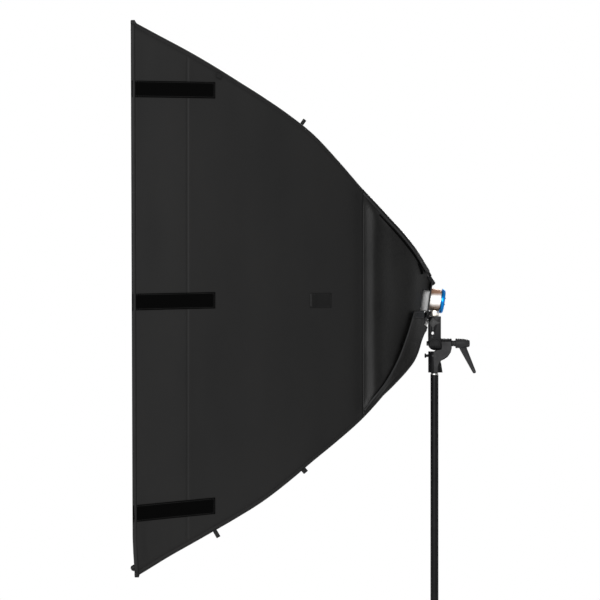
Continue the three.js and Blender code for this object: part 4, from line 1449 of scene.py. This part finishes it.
solid("lever_handle", join_shapes([lever_hub, arm]), LEVER_PLASTIC, "lever", "black_plastic",
      ["clamp_lever"], 38)

WING = -53
UPPER_WING = [(-16.6, 3.2), (-17.4, 7.2), (-20.4, 11.4), (-23.6, 12.4), (-25.8, 10.6), (-25.6, 6.4),
              (-23.2, 2.6)]
wing_outline = [(x, z + WING) for x, z in [*UPPER_WING, *((x, -z) for x, z in reversed(UPPER_WING))]]
wing = [slab(wing_outline, 0, side * 2.9, 1.0, (-21, WING)) for side in (1, -1)]
stem = [(0, -16.9), (4.2, -16.9), (4.2, -15.6), (3, -15.2), (3, -8.5), (0, -8.5)]
collar = [(0, -22.4), (4.4, -22.4), (5.2, -21.6), (5.2, -17.2), (4.6, -16.6), (0, -16.6)]
wing += [turned(profile, at_stand(0, 0, WING), (1, 0, 0), 32) for profile in (stem, collar)]
solid("wing_screw", join_shapes(wing), WING_METAL, "upper_screw", "steel", ["upper_wing_screw"])


def knurled(profile, centre, lobes, depth, low, high):
    """A shape in millimetres turned about X, whose rim between two distances carries lobes."""
    axis, sides = Vector((1, 0, 0)), 96
    verts, faces = turned(profile, centre, axis, sides)
    moved = []
    for k, v in enumerate(verts):
        along = (v - Vector(centre)).dot(axis)
        stem_point = Vector(centre) + axis * along
        if low * MM <= along <= high * MM:
            wave = 1 - depth * (0.5 - 0.5 * math.cos(2 * math.pi * lobes * (k % sides) / sides))
            v = stem_point + (v - stem_point) * wave
        moved.append(v)
    return moved, faces


thumb = [(0, -24), (4.8, -24), (5.4, -23.4), (5.4, -21.2), (4.9, -20.7), (3.4, -20.5), (3.4, -15.6),
         (2.5, -15.4), (2.5, -8.5), (0, -8.5)]
solid("thumb_screw", knurled(thumb, at_stand(0, 0, -136), 24, 0.09, -23.6, -20.9), CAST_BLACK,
      "lower_screw", "black_casting", ["lower_thumb_screw"], 50)

# ---- the stand ----

STAND_FOOT = Vector((AXIS_X, 0, 0))


def upright(profile):
    """A profile in metres turned about the stand's axis."""
    return lathe(profile, STAND_FOOT, (0, 0, 1))


def round_tube(name, cad_node, body, bore):
    """A tube with rolled ends, in a CAD tube's place."""
    low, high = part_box(cad_node)
    outer = (high.y - low.y) / 2
    lip = 0.5 * MM
    profile = [(bore, low.z + lip), (bore + lip, low.z), (outer - lip, low.z), (outer, low.z + lip),
               (outer, high.z - lip), (outer - lip, high.z), (bore + lip, high.z), (bore, high.z - lip),
               (bore, low.z + lip)]
    solid(name, upright(profile), TUBE_BLACK, body, "black_tube", [cad_node])


round_tube("base_column", "base_tube", "base", 13.5 * MM)
round_tube("middle_column", "mid_tube", "mid_column", 11 * MM)
round_tube("upper_column", "top_tube", "top_column", 8.25 * MM)

spigot_low, spigot_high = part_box("top_spigot")
tube_end = tube_high.z
spigot = [(0, spigot_low.z), (7.9 * MM, spigot_low.z), (7.9 * MM, tube_end + 0.2 * MM),
          (9.4 * MM, tube_end + 0.2 * MM), (9.7 * MM, tube_end + 0.6 * MM), (9.7 * MM, tube_end + 1.4 * MM),
          (8.2 * MM, tube_end + 4.6 * MM), (8 * MM, tube_end + 5.6 * MM), (8 * MM, tube_end + 18 * MM),
          (7.2 * MM, tube_end + 19 * MM), (7.2 * MM, tube_end + 25 * MM), (8 * MM, tube_end + 26 * MM),
          (8 * MM, spigot_high.z - 1.4 * MM), (6.6 * MM, spigot_high.z), (0, spigot_high.z)]
solid("steel_spigot", upright(spigot), SPIGOT_STEEL, "top_column", "steel", ["top_spigot"])


def star_knob(name, cad_node, body):
    """A clamp knob with finger lobes, on its threaded stem."""
    low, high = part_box(cad_node)
    centre = Vector((AXIS_X, 0, (low.z + high.z) / 2))
    near = (low.x - AXIS_X) / MM
    far = (high.x - AXIS_X) / MM
    profile = [(0, near), (3, near), (3, far - 18.5), (7.4, far - 18.5), (8, far - 17.9), (8, far - 15.4),
               (12.6, far - 13.4), (15.2, far - 12.4), (16, far - 11.2), (16, far - 4.2), (15.2, far - 2.2),
               (12.4, far - 0.6), (9.6, far), (7.8, far), (7.2, far - 1.1), (0, far - 1.1)]
    shape = knurled(profile, centre, 6, 0.2, far - 13.5, far - 0.5)
    solid(name, shape, PLASTIC, body, "black_plastic", [cad_node], 50)
    cap = [(0, far - 1.6), (6.6, far - 1.6), (6.6, far - 0.9), (5.8, far - 0.5), (0, far - 0.4)]
    solid(f"{name}_cap", turned(cap, centre, (1, 0, 0), 32), STEEL, body, "black_plastic")


star_knob("base_clamp_knob", "base_knob", "base_knob")
star_knob("middle_clamp_knob", "mid_knob", "mid_knob")
star_knob("leg_clamp_knob", "leg_knob", "leg_knob")


def round_collar(name, cad_node, body, grooves):
    """A clamp collar: the CAD part with softened edges, and grip grooves round its lower half."""
    dressed(name, cad_node, PLASTIC, 1.0 * MM)
    low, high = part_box(cad_node)
    outer = (high.y - low.y) / 2
    rib = [(-1, 0), (0.5, 0), (0.8, 0.4), (0.8, 1.2), (0.5, 1.6), (-1, 1.6), (-1, 0)]
    shapes = []
    for k in range(grooves):
        z = low.z + (4 + 3.4 * k) * MM
        shapes.append(upright([(outer + out * MM, z + up * MM) for out, up in rib]))
    solid(f"{name}_grip", join_shapes(shapes), PLASTIC, body, "black_plastic")


round_collar("base_clamp_collar", "base_collar", "base", 4)
round_collar("middle_clamp_collar", "mid_collar", "mid_column", 3)
dressed("leg_collar_body", "leg_collar", PLASTIC, 0.9 * MM)
dressed("brace_hub_body", "brace_hub", PLASTIC, 0.9 * MM)

LEG_AZIMUTHS = (180, 60, -60)
LEG_SLOPE = math.radians(50)
LEG_PIVOT = Vector((34 * MM, 0, 363.5 * MM))
BRACE_AT = 300 * MM
FOOT_RIBS_AT = (540, 549, 558)


def dome(centre, axis, radius, height):
    """A rivet's rounded head."""
    profile = [(radius * math.cos(a), height * math.sin(a)) for a in np.linspace(0, math.pi / 2, 6)]
    profile = [(0, -0.6 * MM), (radius, -0.6 * MM), *profile[:-1], (0.02 * MM, height), (0, height)]
    return lathe(profile, centre, axis, 20)


for k, azimuth in enumerate(LEG_AZIMUTHS, 1):
    turn = Matrix.Rotation(math.radians(azimuth), 4, "Z")

    def placed(reach, y, height):
        return STAND_FOOT + turn @ Vector((reach, y, height))

    side = (turn @ Vector((0, 1, 0))).normalized()
    dressed(f"leg_bar_{k}", f"leg_{k}", TUBE_BLACK, 1.4 * MM)
    dressed(f"rubber_foot_{k}", f"foot_{k}", RUBBER, 2.2 * MM, segments=3)
    dressed(f"brace_bar_{k}", f"brace_{k}", TUBE_BLACK, 0.8 * MM)
    along = Vector((math.sin(LEG_SLOPE), 0, -math.cos(LEG_SLOPE)))
    brace_top = LEG_PIVOT + along * BRACE_AT
    heads = [
        dome(placed(brace_top.x, 14.2 * MM, brace_top.z), side, 4.6 * MM, 2.2 * MM),
        dome(placed(brace_top.x, -6.4 * MM, brace_top.z), -side, 4.6 * MM, 2.0 * MM),
    ]
    solid(f"leg_rivets_{k}", join_shapes(heads), STEEL, f"leg_{k}", "black_tube", angle=50)
    ribs = []
    for distance in FOOT_RIBS_AT:
        middle = LEG_PIVOT + along * distance * MM
        across = Vector((math.cos(LEG_SLOPE), 0, math.sin(LEG_SLOPE)))
        path = []
        for a, b in ((-1, -1), (1, -1), (1, 1), (-1, 1)):
            corner = middle + across * a * 12.2 * MM + Vector((0, b * 9.7 * MM, 0))
            path.append(placed(*corner))
        ups = [(p - placed(*middle)).normalized() for p in path]
        dense, tops = [], []
        for i in range(4):
            for share in np.linspace(0, 1, 7)[:-1]:
                dense.append(np.array(path[i]) * (1 - share) + np.array(path[(i + 1) % 4]) * share)
                tops.append(np.array(ups[i]) * (1 - share) + np.array(ups[(i + 1) % 4]) * share)
        ribs.append(swept(dense, round_section(2.4 * MM, 1.4 * MM, 0.6 * MM), tops, True))
    solid(f"foot_ribs_{k}", join_shapes(ribs), RUBBER, f"leg_{k}", "black_rubber", angle=60)
pins = []
for azimuth in LEG_AZIMUTHS:
    turn = Matrix.Rotation(math.radians(azimuth), 4, "Z")
    side = (turn @ Vector((0, 1, 0))).normalized()
    place = STAND_FOOT + turn @ LEG_PIVOT
    pins += [dome(place + end * 10.4 * MM, end, 4.4 * MM, 1.8 * MM) for end in (side, -side)]
solid("collar_rivets", join_shapes(pins), STEEL, "leg_collar", "black_plastic", angle=50)


# ---- camera, light and floor ----

CAMERA_PLACE = (AXIS_X - 328.6 * MM, -4.2, LAMP_Z)
CAMERA_LENS = 103.1
camera_data = bpy.data.cameras.new("camera")
camera_data.sensor_width = 36
camera_data.lens = CAMERA_LENS
camera = bpy.data.objects.new("camera", camera_data)
camera.location = CAMERA_PLACE
camera.rotation_euler = (math.radians(90), 0, 0)
scene.collection.objects.link(camera)
scene.camera = camera
scene.view_settings.view_transform = "Standard"

world = bpy.data.worlds.new("white_studio")
world.use_nodes = True
background = world.node_tree.nodes["Background"]
background.inputs["Color"].default_value = (1, 1, 1, 1)
background.inputs["Strength"].default_value = 1.0
scene.world = world


def area_light(name, place, aim, size, power):
    data = bpy.data.lights.new(name, "AREA")
    data.shape = "RECTANGLE"
    data.size, data.size_y = size, size
    data.energy = power
    lamp = bpy.data.objects.new(name, data)
    lamp.location = place
    lamp.rotation_euler = (Vector(aim) - Vector(place)).to_track_quat("-Z", "Y").to_euler()
    scene.collection.objects.link(lamp)


area_light("key_light", (-0.9, -4.9, 2.75), (0.0, 0, 1.55), 1.5, 420)
area_light("back_light", (1.6, 4.2, 3.2), (0.0, 0, 1.4), 1.8, 160)

FLOOR_RADIUS, FLOOR_SIDES = 3, 64
turns = [k * math.pi / 32 for k in range(FLOOR_SIDES)]
floor_rim = [(FLOOR_RADIUS * math.cos(a), FLOOR_RADIUS * math.sin(a), 0) for a in turns]
floor_mesh = bpy.data.meshes.new("floor")
floor_mesh.from_pydata(floor_rim, [], [tuple(range(FLOOR_SIDES))])
floor_mesh.materials.append(FLOOR)
floor = bpy.data.objects.new("floor", floor_mesh)
scene.collection.objects.link(floor)
